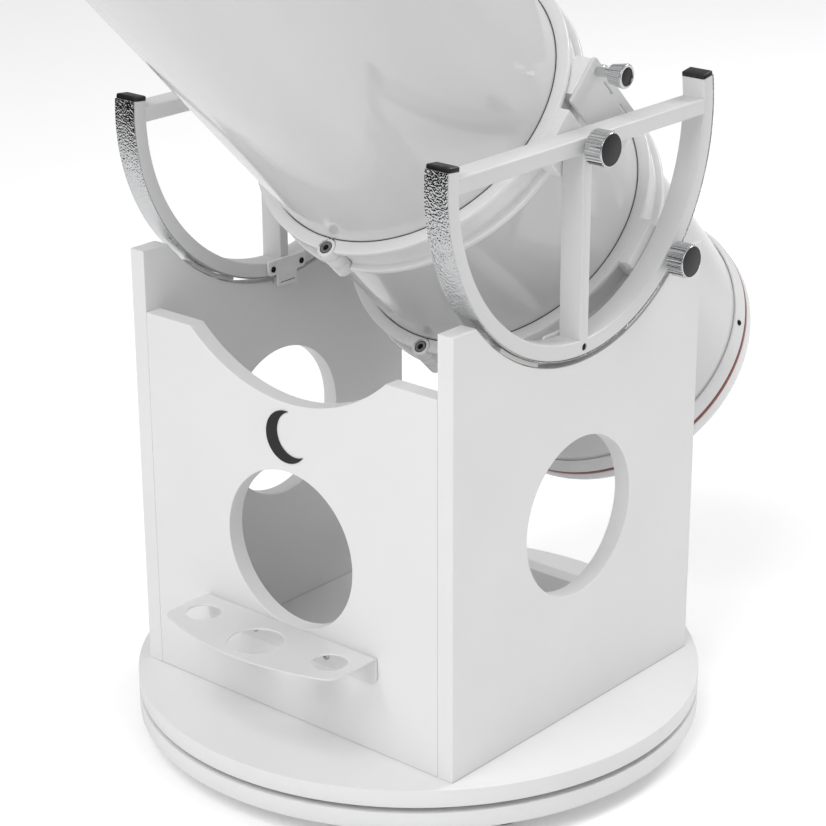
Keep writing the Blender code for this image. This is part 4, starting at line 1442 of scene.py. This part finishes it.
@dataclass
class SideRail:
    """The flat rail that hangs from the upper right ring half, with two slots.

    Attributes:
        slots: (lowest, highest) s of each slot.
        slot_v: v range of the slots.
    """

    slots: tuple[Point, ...] = ((-0.0350, -0.0160), (-0.0710, -0.0520))
    slot_v: Point = (0.0755, 0.0780)

    def build(self) -> None:
        """Builds the rail."""
        outline = rectangle((0.0360, 0.0860), (-0.0880, 0.0120), 0.0022, 5)
        holes = [rectangle(self.slot_v, slot, 0.0012, 4) for slot in self.slots]
        rail = placed(panel("side_rail_skin", outline, (0.1658, 0.1698), holes, 0.0006), OTA @ UPRIGHT)
        fitted(dressed(rail, POWDER_COAT), "cradle", "white_enamel", "side_rail")


@dataclass
class Knobs:
    """All knobs of the cradle.

    Attributes:
        frame_knob: the large knobs that hold the rings to the frames.
        rail_knob: the flared knob on the rail.
        clamp_knob: the screws that close the rings.
        rings: s of the upper and lower ring.
    """

    frame_knob: Knob = field(default_factory=lambda: Knob(
        (0.0040, 0.1673, 0.2036), (0.0078, 0.2092), (0.0166, 0.0166, 0.2090, 0.2283),
        32, 0.00125, 0.0148, 0.0002))
    rail_knob: Knob = field(default_factory=lambda: Knob(
        (0.0031, 0.1575, 0.1701), (0.0044, 0.1858), (0.0092, 0.0118, 0.1855, 0.2032),
        30, 0.0008, 0.0086, 0.0010))
    clamp_knob: Knob = field(default_factory=lambda: Knob(
        (0.0030, -0.0160, 0.0113), (0.0060, 0.0152), (0.0105, 0.0114, 0.0150, 0.0280),
        28, 0.0009, 0.0085, 0.0006))
    rings: Point = (0.0, -0.188)

    def build(self) -> None:
        """Builds the knobs, each on its own body."""
        for side in (1, -1):
            for word in ("upper", "lower"):
                node = f"frame_knob_{word_of(side)}_{word}"
                axis = JOINTS[node + "_turn"]["pos_m"]
                place = Matrix.Translation((0, axis[1], axis[2])) @ side_matrix(side)
                fitted(self.frame_knob.build(node + "_skin", place), node, "chrome", node)
        for s, word in zip(self.rings, ("upper", "lower")):
            node = "clamp_knob_" + word
            place = OTA @ Matrix.Translation((0, 0.1770, s)) @ side_matrix(1)
            fitted(self.clamp_knob.build(node + "_skin", place), node, "chrome", node)
        place = OTA @ Matrix.Translation((0, 0.0780, 0)) @ side_matrix(1)
        fitted(self.rail_knob.build("rail_knob_skin", place), "rail_knob", "chrome", "rail_knob")


# ---------------------------------------------------------------- optical tube
def radial_frame(angle: float, s: float) -> Matrix:
    """A frame on the tube's side: local Z points out, local Y up the tube.

    Args:
        angle: degrees round the tube from world X.
        s: place along the tube axis.

    Returns:
        The matrix, in tube axes.
    """
    out = outward(angle)
    up = Vector((0, 0, 1))
    turn = Matrix((up.cross(out), up, out)).transposed().to_4x4()
    return Matrix.Translation((0, 0, s)) @ turn


@dataclass
class OpticalTube:
    """The rolled tube with its end rings and mirrors.

    Attributes:
        radius: outside radius.
        wall: wall thickness.
        reach: (lowest, highest) s.
        focus: (angle, s) of the focuser.
        arms: angles of the rear casting's arms.
        screw_r: radius of the collimation screws' circle.
        count: steps round.
    """

    radius: float = 0.153
    wall: float = 0.0015
    reach: Point = (-0.4400, 0.7220)
    focus: Point = (45.0, 0.628)
    arms: tuple[float, ...] = (30.0, 150.0, 270.0)
    screw_r: float = 0.098
    count: int = 256

    def build(self) -> None:
        """Builds the tube's pieces."""
        self.tube()
        self.front_ring()
        self.rear_cell()
        self.primary()
        self.collimation()
        self.secondary()

    def tube(self) -> None:
        """Builds the rolled tube, gloss outside and flat black inside."""
        inner = self.radius - self.wall
        low, high = self.reach
        profile = [(inner, low), (self.radius, low), (self.radius, 0.56), (self.radius, 0.70),
                   (self.radius, high), (inner, high), (inner, 0.70), (inner, 0.56)]
        shell = lathe("tube_skin", profile, self.count, (0, 0, 0, 0, 0, 1, 1, 1))
        dressed(shell, TUBE_ENAMEL, FLAT_BLACK)
        port = lathe("port", [(0, 0.10), (0.030, 0.10), (0.030, 0.20), (0, 0.20)], 64)
        cut(shell, placed(port, radial_frame(*self.focus)))
        fitted(placed(shell, OTA), "optical_tube", "white_enamel", "tube")

    def front_ring(self) -> None:
        """Builds the front end ring and the vane screws."""
        profile = [(0.1534, 0.7155), (0.1562, 0.7155), (0.1562, 0.7340), (0.1540, 0.7370), (0.1480, 0.7370),
                   (0.1455, 0.7345), (0.1455, 0.7225), (0.1534, 0.7225)]
        ring = dressed(turned("ring", profile, 0.0008, self.count), CAST_PAINT)
        spots = []
        for turn in (0, 90, 180, 270):
            out = outward(turn)
            spots += [(out * self.radius + Vector((0, 0, s)), out, 0.3 + turn) for s in (0.688, 0.702)]
        screws = copies("screws", screw_head(0.0032, 0.0020, 0.0018), spots, ZINC)
        fitted(placed(joined("front_ring_skin", ring, screws), OTA), "optical_tube", "white_casting",
               "front_ring")

    def rear_cell(self) -> None:
        """Builds the rear casting, its arms and screws, and the enamel line."""
        profile = [
            (0.1534, -0.4248), (0.1556, -0.4248), (0.1590, -0.4380), (0.1598, -0.4402), (0.1584, -0.4402),
            (0.1584, -0.4452), (0.1598, -0.4452), (0.1598, -0.4560), (0.1575, -0.4620), (0.1530, -0.4640),
            (0.1455, -0.4640), (0.1455, -0.4403), (0.1534, -0.4403),
        ]
        radii = [0.0004, 0.0005, 0.002, 0.0003, 0.0002, 0.0002, 0.0003, 0.003, 0.002, 0.002, 0.0015,
                 0.0005, 0.0003]
        outside = rounded(profile, radii, 3)
        pieces = [dressed(lathe("ring", outside, self.count), CAST_PAINT)]
        hub = [(0.0150, -0.4560), (0.0340, -0.4560), (0.0340, -0.4460), (0.0150, -0.4460)]
        pieces.append(dressed(turned("hub", hub, 0.0012, 64), CAST_PAINT))
        for turn in self.arms:
            arm = block("arm", (0.0300, 0.1480), (-0.013, 0.013), (-0.4555, -0.4465), 0.0016, 3)
            rib = block("rib", (0.0300, 0.1470), (-0.003, 0.003), (-0.4585, -0.4540), 0.0012, 3)
            spin = Matrix.Rotation(math.radians(turn), 4, "Z")
            pieces += [dressed(placed(arm, spin), CAST_PAINT), dressed(placed(rib, spin), CAST_PAINT)]
        spots = []
        for k in range(6):
            turn = math.radians(20 + 60 * k)
            out = Vector((math.cos(turn), math.sin(turn), 0.25)).normalized()
            at = Vector((math.cos(turn) * 0.1571, math.sin(turn) * 0.1571, -0.4315))
            spots.append((at, out, 0.7 * k))
        pieces.append(copies("screws", screw_head(0.0030, 0.0016, 0.0017), spots, BLACK_OXIDE))
        fitted(placed(joined("rear_cell_skin", *pieces), OTA), "optical_tube", "white_casting", "rear_cell")
        groove = [(0.1587, -0.4449), (0.1597, -0.4449), (0.1597, -0.4405), (0.1587, -0.4405)]
        line = dressed(turned("pinstripe_skin", groove, 0.0003, self.count), RED_LINE)
        fitted(placed(line, OTA), "optical_tube", "red_stripe", "pinstripe")

    def primary(self) -> None:
        """Builds the concave mirror and its supporting plate with clips."""
        edge, back, radius, focal = -0.3925, -0.4285, 0.127, 1.270
        curve = [(r, edge - (radius ** 2 - r ** 2) / (4 * focal)) for r in
                 (radius * (0.988 - k / 16) for k in range(16))]
        profile = [(0, back), (radius - 0.001, back), (radius, back + 0.001), (radius, edge - 0.0015)] + curve
        profile.append((0, edge - radius ** 2 / (4 * focal)))
        mirror = lathe("primary_mirror_skin", profile, 128, (1, 1, 1, 1))
        fitted(placed(dressed(mirror, MIRROR, GROUND_GLASS), OTA), "optical_tube", "mirror_glass",
               "primary_mirror")
        plate = [(0.030, -0.4395), (0.1215, -0.4395), (0.1215, -0.4292), (0.030, -0.4292)]
        pieces = [dressed(turned("plate", plate, 0.0008, 128), ANODISED)]
        for turn in (90, 210, 330):
            spin = Matrix.Rotation(math.radians(turn), 4, "Z")
            for x, y, z in (((0.110, 0.1338), 0.011, (-0.4393, -0.4294)),
                            ((0.1278, 0.1338), 0.0105, (-0.4390, -0.3872)),
                            ((0.1192, 0.1336), 0.0103, (-0.3912, -0.3874))):
                pieces.append(dressed(placed(block("clip", x, (-y, y), z, 0.0009), spin), ANODISED))
        fitted(placed(joined("mirror_cell_skin", *pieces), OTA), "optical_tube", "anodised_alloy",
               "mirror_cell")

    def collimation(self) -> None:
        """Builds the three collimation screws behind the casting."""
        profile = [(0, -0.4760), (0.0115, -0.4760), (0.0130, -0.4742), (0.0130, -0.4600), (0.0080, -0.4563),
                   (0.0041, -0.4563), (0.0041, -0.4400), (0, -0.4400)]
        for turn, word in zip(self.arms, "abc"):
            node = "collimation_knob_" + word
            knob = turned(node + "_skin", profile, 0.0007, 144, flutes=(18, 0.0011, (-0.4745, -0.4595)))
            x, y = self.screw_r * math.cos(math.radians(turn)), self.screw_r * math.sin(math.radians(turn))
            fitted(placed(dressed(knob, ZINC), OTA @ Matrix.Translation((x, y, 0))), node, "zinc_steel", node)

    def sheared(self, name: str, radius: float, near: float, far: float,
                flat_top: Optional[float] = None) -> bpy.types.Object:
        """A cylinder along the tube axis cut at 45 degrees towards the focuser.

        Args:
            name: the object's name.
            radius: its radius.
            near: distance of its first slanted face behind the diagonal's plane.
            far: distance of its second slanted face, unless the top is flat.
            flat_top: s of a flat top.

        Returns:
            The object.
        """
        turn = math.radians(self.focus[0])
        bm = bmesh.new()
        rings = []
        for depth, flat in ((near, None), (far, flat_top)):
            ring = []
            for x, y in circle((0, 0), radius, 96):
                slope = x * math.cos(turn) + y * math.sin(turn)
                z = self.focus[1] + slope + depth * math.sqrt(2)
                ring.append(bm.verts.new((x, y, flat if flat is not None else z)))
            rings.append(ring)
        for i in range(96):
            j = (i + 1) % 96
            bm.faces.new((rings[0][i], rings[0][j], rings[1][j], rings[1][i]))
        bm.faces.new(rings[0])
        bm.faces.new(rings[1])
        return mesh_object(name, bm)

    def secondary(self) -> None:
        """Builds the diagonal mirror, its holder and the four vanes."""
        glass = dressed(self.sheared("secondary_mirror_skin", 0.0315, 0.0, 0.008), MIRROR)
        fitted(placed(glass, OTA), "optical_tube", "mirror_glass", "secondary_mirror")
        holder = dressed(self.sheared("holder", 0.0300, 0.0083, 0.0, 0.6720), ANODISED)
        hub = [(0, 0.6690), (0.0180, 0.6690), (0.0180, 0.7120), (0, 0.7120)]
        pieces = [holder, dressed(turned("hub", hub, 0.0014, 72), ANODISED)]
        for turn in (0, 90, 180, 270):
            vane = block("vane", (0.0150, 0.1508), (-0.0006, 0.0006), (0.6820, 0.7080), 0.0002, 1)
            pieces.append(dressed(placed(vane, Matrix.Rotation(math.radians(turn), 4, "Z")), FLAT_BLACK))
        spots = [((0.0105 * math.cos(t), 0.0105 * math.sin(t), 0.7120), (0, 0, 1), t)
                 for t in (0.5, 2.6, 4.7)]
        pieces.append(copies("screws", screw_head(0.0028, 0.0018, 0.0015), spots, BLACK_OXIDE))
        fitted(placed(joined("spider_skin", *pieces), OTA), "optical_tube", "black_plastic", "spider")


# ---------------------------------------------------------------- focuser and finder
def tube_cutter(radius: float) -> bpy.types.Object:
    """A cutter in the shape of the tube, lying along local Y, that fits a part's underside to it."""
    reach, radius = 0.08, radius + 0.2 * MM
    body = lathe("under", [(0, -reach), (radius, -reach), (radius, reach), (0, reach)], 192)
    return placed(body, Matrix.Rotation(math.radians(90), 4, "X"))


@dataclass
class Focuser:
    """The rack focuser with its drawtube, knobs, lock screw and eyepiece.

    Attributes:
        angle: degrees round the tube.
        s: place along the tube axis.
        tube_r: outside radius of the tube.
        bore: radius of the bore.
    """

    angle: float = 45.0
    s: float = 0.628
    tube_r: float = 0.153
    bore: float = 0.0261

    def build(self) -> None:
        """Builds the focuser's pieces."""
        place = OTA @ radial_frame(self.angle, self.s)
        self.base(place)
        self.drawtube(place)
        self.controls(place)
        self.eyepiece(place)

    def bored(self, obj: bpy.types.Object) -> bpy.types.Object:
        """Cuts the bore through a piece."""
        return cut(obj, lathe("bore", [(0, 0.10), (self.bore, 0.10), (self.bore, 0.25), (0, 0.25)], 72))

    def base(self, place: Matrix) -> None:
        """Builds the saddle, housing and bridge.

        Args:
            place: the focuser's frame.
        """
        saddle = stack("saddle", rectangle((-0.046, 0.046), (-0.046, 0.046), 0.009, 6),
                       [(0.0, 0.1400), (0.0, 0.1625), (0.0005, 0.1635), (0.0015, 0.1640)])
        saddle = self.bored(cut(saddle, tube_cutter(self.tube_r)))
        hexagon = rounded(circle((0, 0), 0.0380, 6), 0.006, 6)
        spin = Matrix.Rotation(math.radians(30), 4, "Z")
        levels = [(0.0, 0.1620), (0.0004, 0.1680), (0.0024, 0.2030), (0.0032, 0.2043), (0.0044, 0.2050)]
        housing = self.bored(placed(stack("housing", hexagon, levels), spin))
        bridge = block("bridge", (-0.0308, 0.0308), (-0.0420, -0.0200), (0.1632, 0.1920), 0.0024, 3)
        bridge = self.bored(bridge)
        corners = [(x, y, 0.1640) for x in (-0.0385, 0.0385) for y in (-0.0385, 0.0385)]
        screws = copies("screws", screw_head(0.0034, 0.0020, 0.0019),
                        [(c, (0, 0, 1), 9 * c[0]) for c in corners], ZINC)
        made = joined("focuser_base_skin", dressed(saddle, ANODISED), dressed(housing, ANODISED),
                      dressed(bridge, ANODISED), screws)
        fitted(placed(made, place), "optical_tube", "anodised_alloy", "focuser_base")

    def drawtube(self, place: Matrix) -> None:
        """Builds the chromed drawtube with its collar.

        Args:
            place: the focuser's frame.
        """
        profile = [(0.0238, 0.1500), (0.0259, 0.1500), (0.0259, 0.2200), (0.0300, 0.2210), (0.0300, 0.2250),
                   (0.0292, 0.2256), (0.0292, 0.2286), (0.0300, 0.2292), (0.0300, 0.2330), (0.0292, 0.2340),
                   (0.0238, 0.2340)]
        tube = turned("drawtube_skin", profile, 0.0004, 96)
        fitted(placed(dressed(tube, CHROME), place), "drawtube", "chrome", "drawtube")

    def controls(self, place: Matrix) -> None:
        """Builds the focusing knobs on their shaft and the lock screw.

        Args:
            place: the focuser's frame.
        """
        half = [(0.0040, 0.0340), (0.0155, 0.0340), (0.0170, 0.0356), (0.0170, 0.0484), (0.0155, 0.0500)]
        profile = [(0, -0.0500)] + [(r, -z) for r, z in reversed(half)] + half + [(0, 0.0500)]
        grip = turned("focus_knobs_skin", profile, 0.0007, 160, flutes=(40, 0.0011, (-0.049, 0.049)))
        across = place @ Matrix.Translation((0, -0.0350, 0.1830)) @ Matrix.Rotation(math.radians(90), 4, "Y")
        fitted(placed(dressed(grip, RUBBER), across), "focus_knobs", "black_plastic", "focus_knobs")
        screw = [(0, 0.0265), (0.0023, 0.0265), (0.0023, 0.0372), (0.0058, 0.0374), (0.0060, 0.0460),
                 (0.0050, 0.0470), (0, 0.0470)]
        lock = turned("focus_lock_skin", screw, 0.0003, 96, flutes=(16, 0.0006, (0.0373, 0.0465)))
        up = place @ Matrix.Translation((0, 0, 0.1950)) @ Matrix.Rotation(math.radians(-90), 4, "X")
        fitted(placed(dressed(lock, ZINC), up), "focus_lock", "zinc_steel", "focus_lock")

    def eyepiece(self, place: Matrix) -> None:
        """Builds the eyepiece: chromed barrel, black body, rubber cup and eye lens.

        Args:
            place: the focuser's frame.
        """
        profile = [(0, 0.2050), (0.0234, 0.2050), (0.0234, 0.2343), (0.0285, 0.2343), (0.0285, 0.2430),
                   (0.0215, 0.2450), (0.0215, 0.2570), (0.0240, 0.2590), (0.0240, 0.2760), (0.0210, 0.2900),
                   (0.0180, 0.2900), (0.0120, 0.2852), (0, 0.2850)]
        looks = (0, 0, 1, 1, 1, 1, 1, 1, 2, 2, 2, 3)
        body = lathe("eyepiece_skin", profile, 96, looks)
        fitted(placed(dressed(body, CHROME, BLACK_ABS, RUBBER, LENS), place), "eyepiece", "black_plastic",
               "eyepiece")


@dataclass
class Finder:
    """The finder scope, its two-ring bracket and the shoe on the tube.

    Attributes:
        angle: degrees round the tube.
        s: place along the tube axis.
        tube_r: outside radius of the tube.
        lift: height of the finder's axis from the tube's axis.
    """

    angle: float = 92.0
    s: float = 0.590
    tube_r: float = 0.153
    lift: float = 0.2120

    def build(self) -> None:
        """Builds the finder's pieces."""
        place = OTA @ radial_frame(self.angle, self.s)
        along = Matrix.Translation((0, 0, self.lift)) @ Matrix.Rotation(math.radians(-90), 4, "X")
        self.shoe(place)
        self.bracket(place, along)
        self.scope(place @ along)

    def shoe(self, place: Matrix) -> None:
        """Builds the dovetail shoe.

        Args:
            place: the finder's frame.
        """
        shoe = stack("finder_shoe_skin", rectangle((-0.0190, 0.0190), (-0.0350, 0.0350), 0.003, 5),
                     [(0.0, 0.1460), (0.0, 0.1690), (0.0004, 0.1697), (0.0010, 0.1700)])
        cut(shoe, tube_cutter(self.tube_r))
        cut(shoe, block("way", (-0.0107, 0.0107), (-0.06, 0.06), (0.1600, 0.20), 0))
        fitted(placed(dressed(shoe, BLACK_ABS), place), "optical_tube", "black_plastic", "finder_shoe")

    def bracket(self, place: Matrix, along: Matrix) -> None:
        """Builds the bracket with its two hoops and four adjusting screws.

        Args:
            place: the finder's frame.
            along: the finder's axis in that frame.
        """
        foot = block("foot", (-0.0104, 0.0104), (-0.0380, 0.0380), (0.1604, 0.1730), 0.0010)
        web = block("web", (-0.0070, 0.0070), (-0.0375, 0.0375), (0.1720, 0.1868), 0.0016, 3)
        pieces = [dressed(foot, CAST_PAINT), dressed(web, CAST_PAINT)]
        spots = []
        for low, high in ((-0.0370, -0.0240), (0.0240, 0.0370)):
            hoop = [(0.0206, low), (0.0285, low), (0.0285, high), (0.0206, high)]
            pieces.append(dressed(placed(turned("hoop", hoop, 0.0012, 96), along), CAST_PAINT))
            for turn in (30, 150, 270):
                out = outward(turn)
                at = along @ (out * 0.0215 + Vector((0, 0, (low + high) / 2)))
                if turn != 270:
                    spots.append((at, along.to_3x3() @ out, 0.0))
        stem = [(0, -0.0012), (0.0020, -0.0012), (0.0020, 0.0095), (0.0044, 0.0097), (0.0044, 0.0130),
                (0, 0.0130)]
        pieces.append(copies("screws", turned("stem", stem, 0.0003, 60,
                                              flutes=(15, 0.0006, (0.0096, 0.0131))), spots, ZINC))
        made = placed(joined("finder_bracket_skin", *pieces), place)
        fitted(made, "finder", "white_casting", "finder_bracket")

    def scope(self, place: Matrix) -> None:
        """Builds the finder tube with its eyepiece, hood and front lens.

        Args:
            place: the finder's axis.
        """
        profile = [(0, -0.1046), (0.0105, -0.1046), (0.0130, -0.1050), (0.0165, -0.1020), (0.0165, -0.0700),
                   (0.0140, -0.0680), (0.0140, -0.0520), (0.0200, -0.0480), (0.0200, 0.0420),
                   (0.0280, 0.0640), (0.0280, 0.0900), (0.0272, 0.0906), (0.0272, 0.0930),
                   (0.0280, 0.0936), (0.0280, 0.1250), (0.0255, 0.1250), (0.0255, 0.1100), (0, 0.1118)]
        looks = (3, 2, 2, 1, 1, 1, 1, 0, 0, 0, 2, 2, 2, 0, 0, 2, 3)
        tube = lathe("finder_tube_skin", profile, 96, looks)
        fitted(placed(dressed(tube, TUBE_ENAMEL, BLACK_ABS, RUBBER, LENS), place), "finder",
               "white_casting", "finder_tube")


# ---------------------------------------------------------------- studio
@dataclass
class Studio:
    """Floor, lights and camera.

    Attributes:
        floor_half: half width of the floor.
        focal: lens in millimetres on a 36 mm sensor.
        eye: place of the camera.
        yaw: degrees the camera looks left of +Y.
        pitch: degrees it looks down.
        shift: lens shift across and up.
        sky: strength of the even white sky.
        glow: light that only the camera sees on the floor, which keeps it an even white.
        boxes: (name, place, size, watts) of each soft box.
        cards: (name, middle, size along X, Y and Z) of each black card.
    """

    floor_half: float = 30.0
    focal: float = 107.33
    eye: tuple[float, float, float] = (1.4861, -1.7192, 1.2029)
    yaw: float = 40.257
    pitch: float = 22.061
    shift: Point = (-0.0343, 0.0486)
    sky: float = 0.50
    glow: float = 0.18
    boxes: tuple[tuple, ...] = (("key_box", (0.2, -2.4, 3.2), 2.4, 70.0),
                                ("rear_box", (0.9, 2.9, 3.2), 1.6, 62.0))
    cards: tuple[tuple, ...] = (("front_card", (-0.85, -1.30, 0.60), (1.7, 0.02, 1.2)),
                                ("left_card", (-2.2, -0.3, 1.4), (0.02, 2.6, 2.8)),
                                ("right_card", (2.4, 0.6, 0.75), (0.02, 3.2, 1.5)))

    def build(self) -> None:
        """Builds the studio."""
        self.floor()
        self.camera()
        self.lights()

    def floor(self) -> None:
        """Builds the pale floor."""
        half = self.floor_half
        mesh = bpy.data.meshes.new("floor")
        mesh.from_pydata([(-half, -half, 0), (half, -half, 0), (half, half, 0), (-half, half, 0)], [],
                         [(0, 1, 2, 3)])
        floor = linked("floor", mesh)
        pale = Finish("pale_studio_floor", "FFFFFF", 0.9).material()
        shader = next(node for node in pale.node_tree.nodes if node.type == "BSDF_PRINCIPLED")
        shader.inputs["Emission Color"].default_value = linear("FFFFFF")
        path = add_node(pale.node_tree, "ShaderNodeLightPath")
        seen = add_node(pale.node_tree, "ShaderNodeMath", {0: (path, "Is Camera Ray"), 1: self.glow},
                        operation="MULTIPLY")
        pale.node_tree.links.new(seen.outputs[0], shader.inputs["Emission Strength"])
        mesh.materials.append(pale)

    def camera(self) -> None:
        """Places the camera."""
        data = bpy.data.cameras.new("camera")
        data.lens, data.sensor_width = self.focal, 36.0
        data.shift_x, data.shift_y = self.shift
        data.clip_start, data.clip_end = 0.05, 200.0
        camera = linked("camera", data)
        yaw, pitch = math.radians(self.yaw), math.radians(self.pitch)
        camera.location = self.eye
        camera.rotation_euler = (math.radians(90) - pitch, 0, yaw)
        bpy.context.scene.camera = camera

    def lights(self) -> None:
        """Lights the scene with a pale sky, a large soft box and black cards that only reflections see."""
        scene = bpy.context.scene
        scene.view_settings.view_transform = "Standard"
        world = bpy.data.worlds.new("studio_sky")
        scene.world = world
        world.use_nodes = True
        world.node_tree.nodes.clear()
        sky = add_node(world.node_tree, "ShaderNodeBackground",
                       {"Color": linear("FFFFFF"), "Strength": self.sky})
        add_node(world.node_tree, "ShaderNodeOutputWorld", {"Surface": (sky, 0)})
        for name, at, size, power in self.boxes:
            data = bpy.data.lights.new(name, "AREA")
            data.shape, data.size, data.energy = "SQUARE", size, power
            light = linked(name, data)
            light.location = at
            light.rotation_euler = (Vector((0, 0, 0.4)) - Vector(at)).to_track_quat("-Z", "Y").to_euler()
        for name, middle, size in self.cards:
            self.card(name, middle, size)

    def card(self, name: str, middle: tuple[float, float, float], size: tuple[float, float, float]) -> None:
        """Stands a black card where only reflections see it.

        Args:
            name: its name.
            middle: its middle.
            size: its size along X, Y and Z.
        """
        spans = [(m - s / 2, m + s / 2) for m, s in zip(middle, size)]
        card = dressed(block(name, *spans, 0), Finish("black_velvet_card", "050505", 1.0))
        card.visible_camera = card.visible_diffuse = card.visible_shadow = False


def main() -> None:
    """Builds every sub-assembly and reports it."""
    logging.basicConfig(level=logging.INFO, format="%(name)s: %(message)s")
    Base().build()
    RockerBox().build()
    AltitudeFrame(1).build()
    AltitudeFrame(-1).build()
    TubeRing("upper", 0.0).build()
    TubeRing("lower", -0.188).build()
    SideRail().build()
    Knobs().build()
    OpticalTube().build()
    Focuser().build()
    Finder().build()
    Studio().build()


if __name__ == "__main__":
    main()
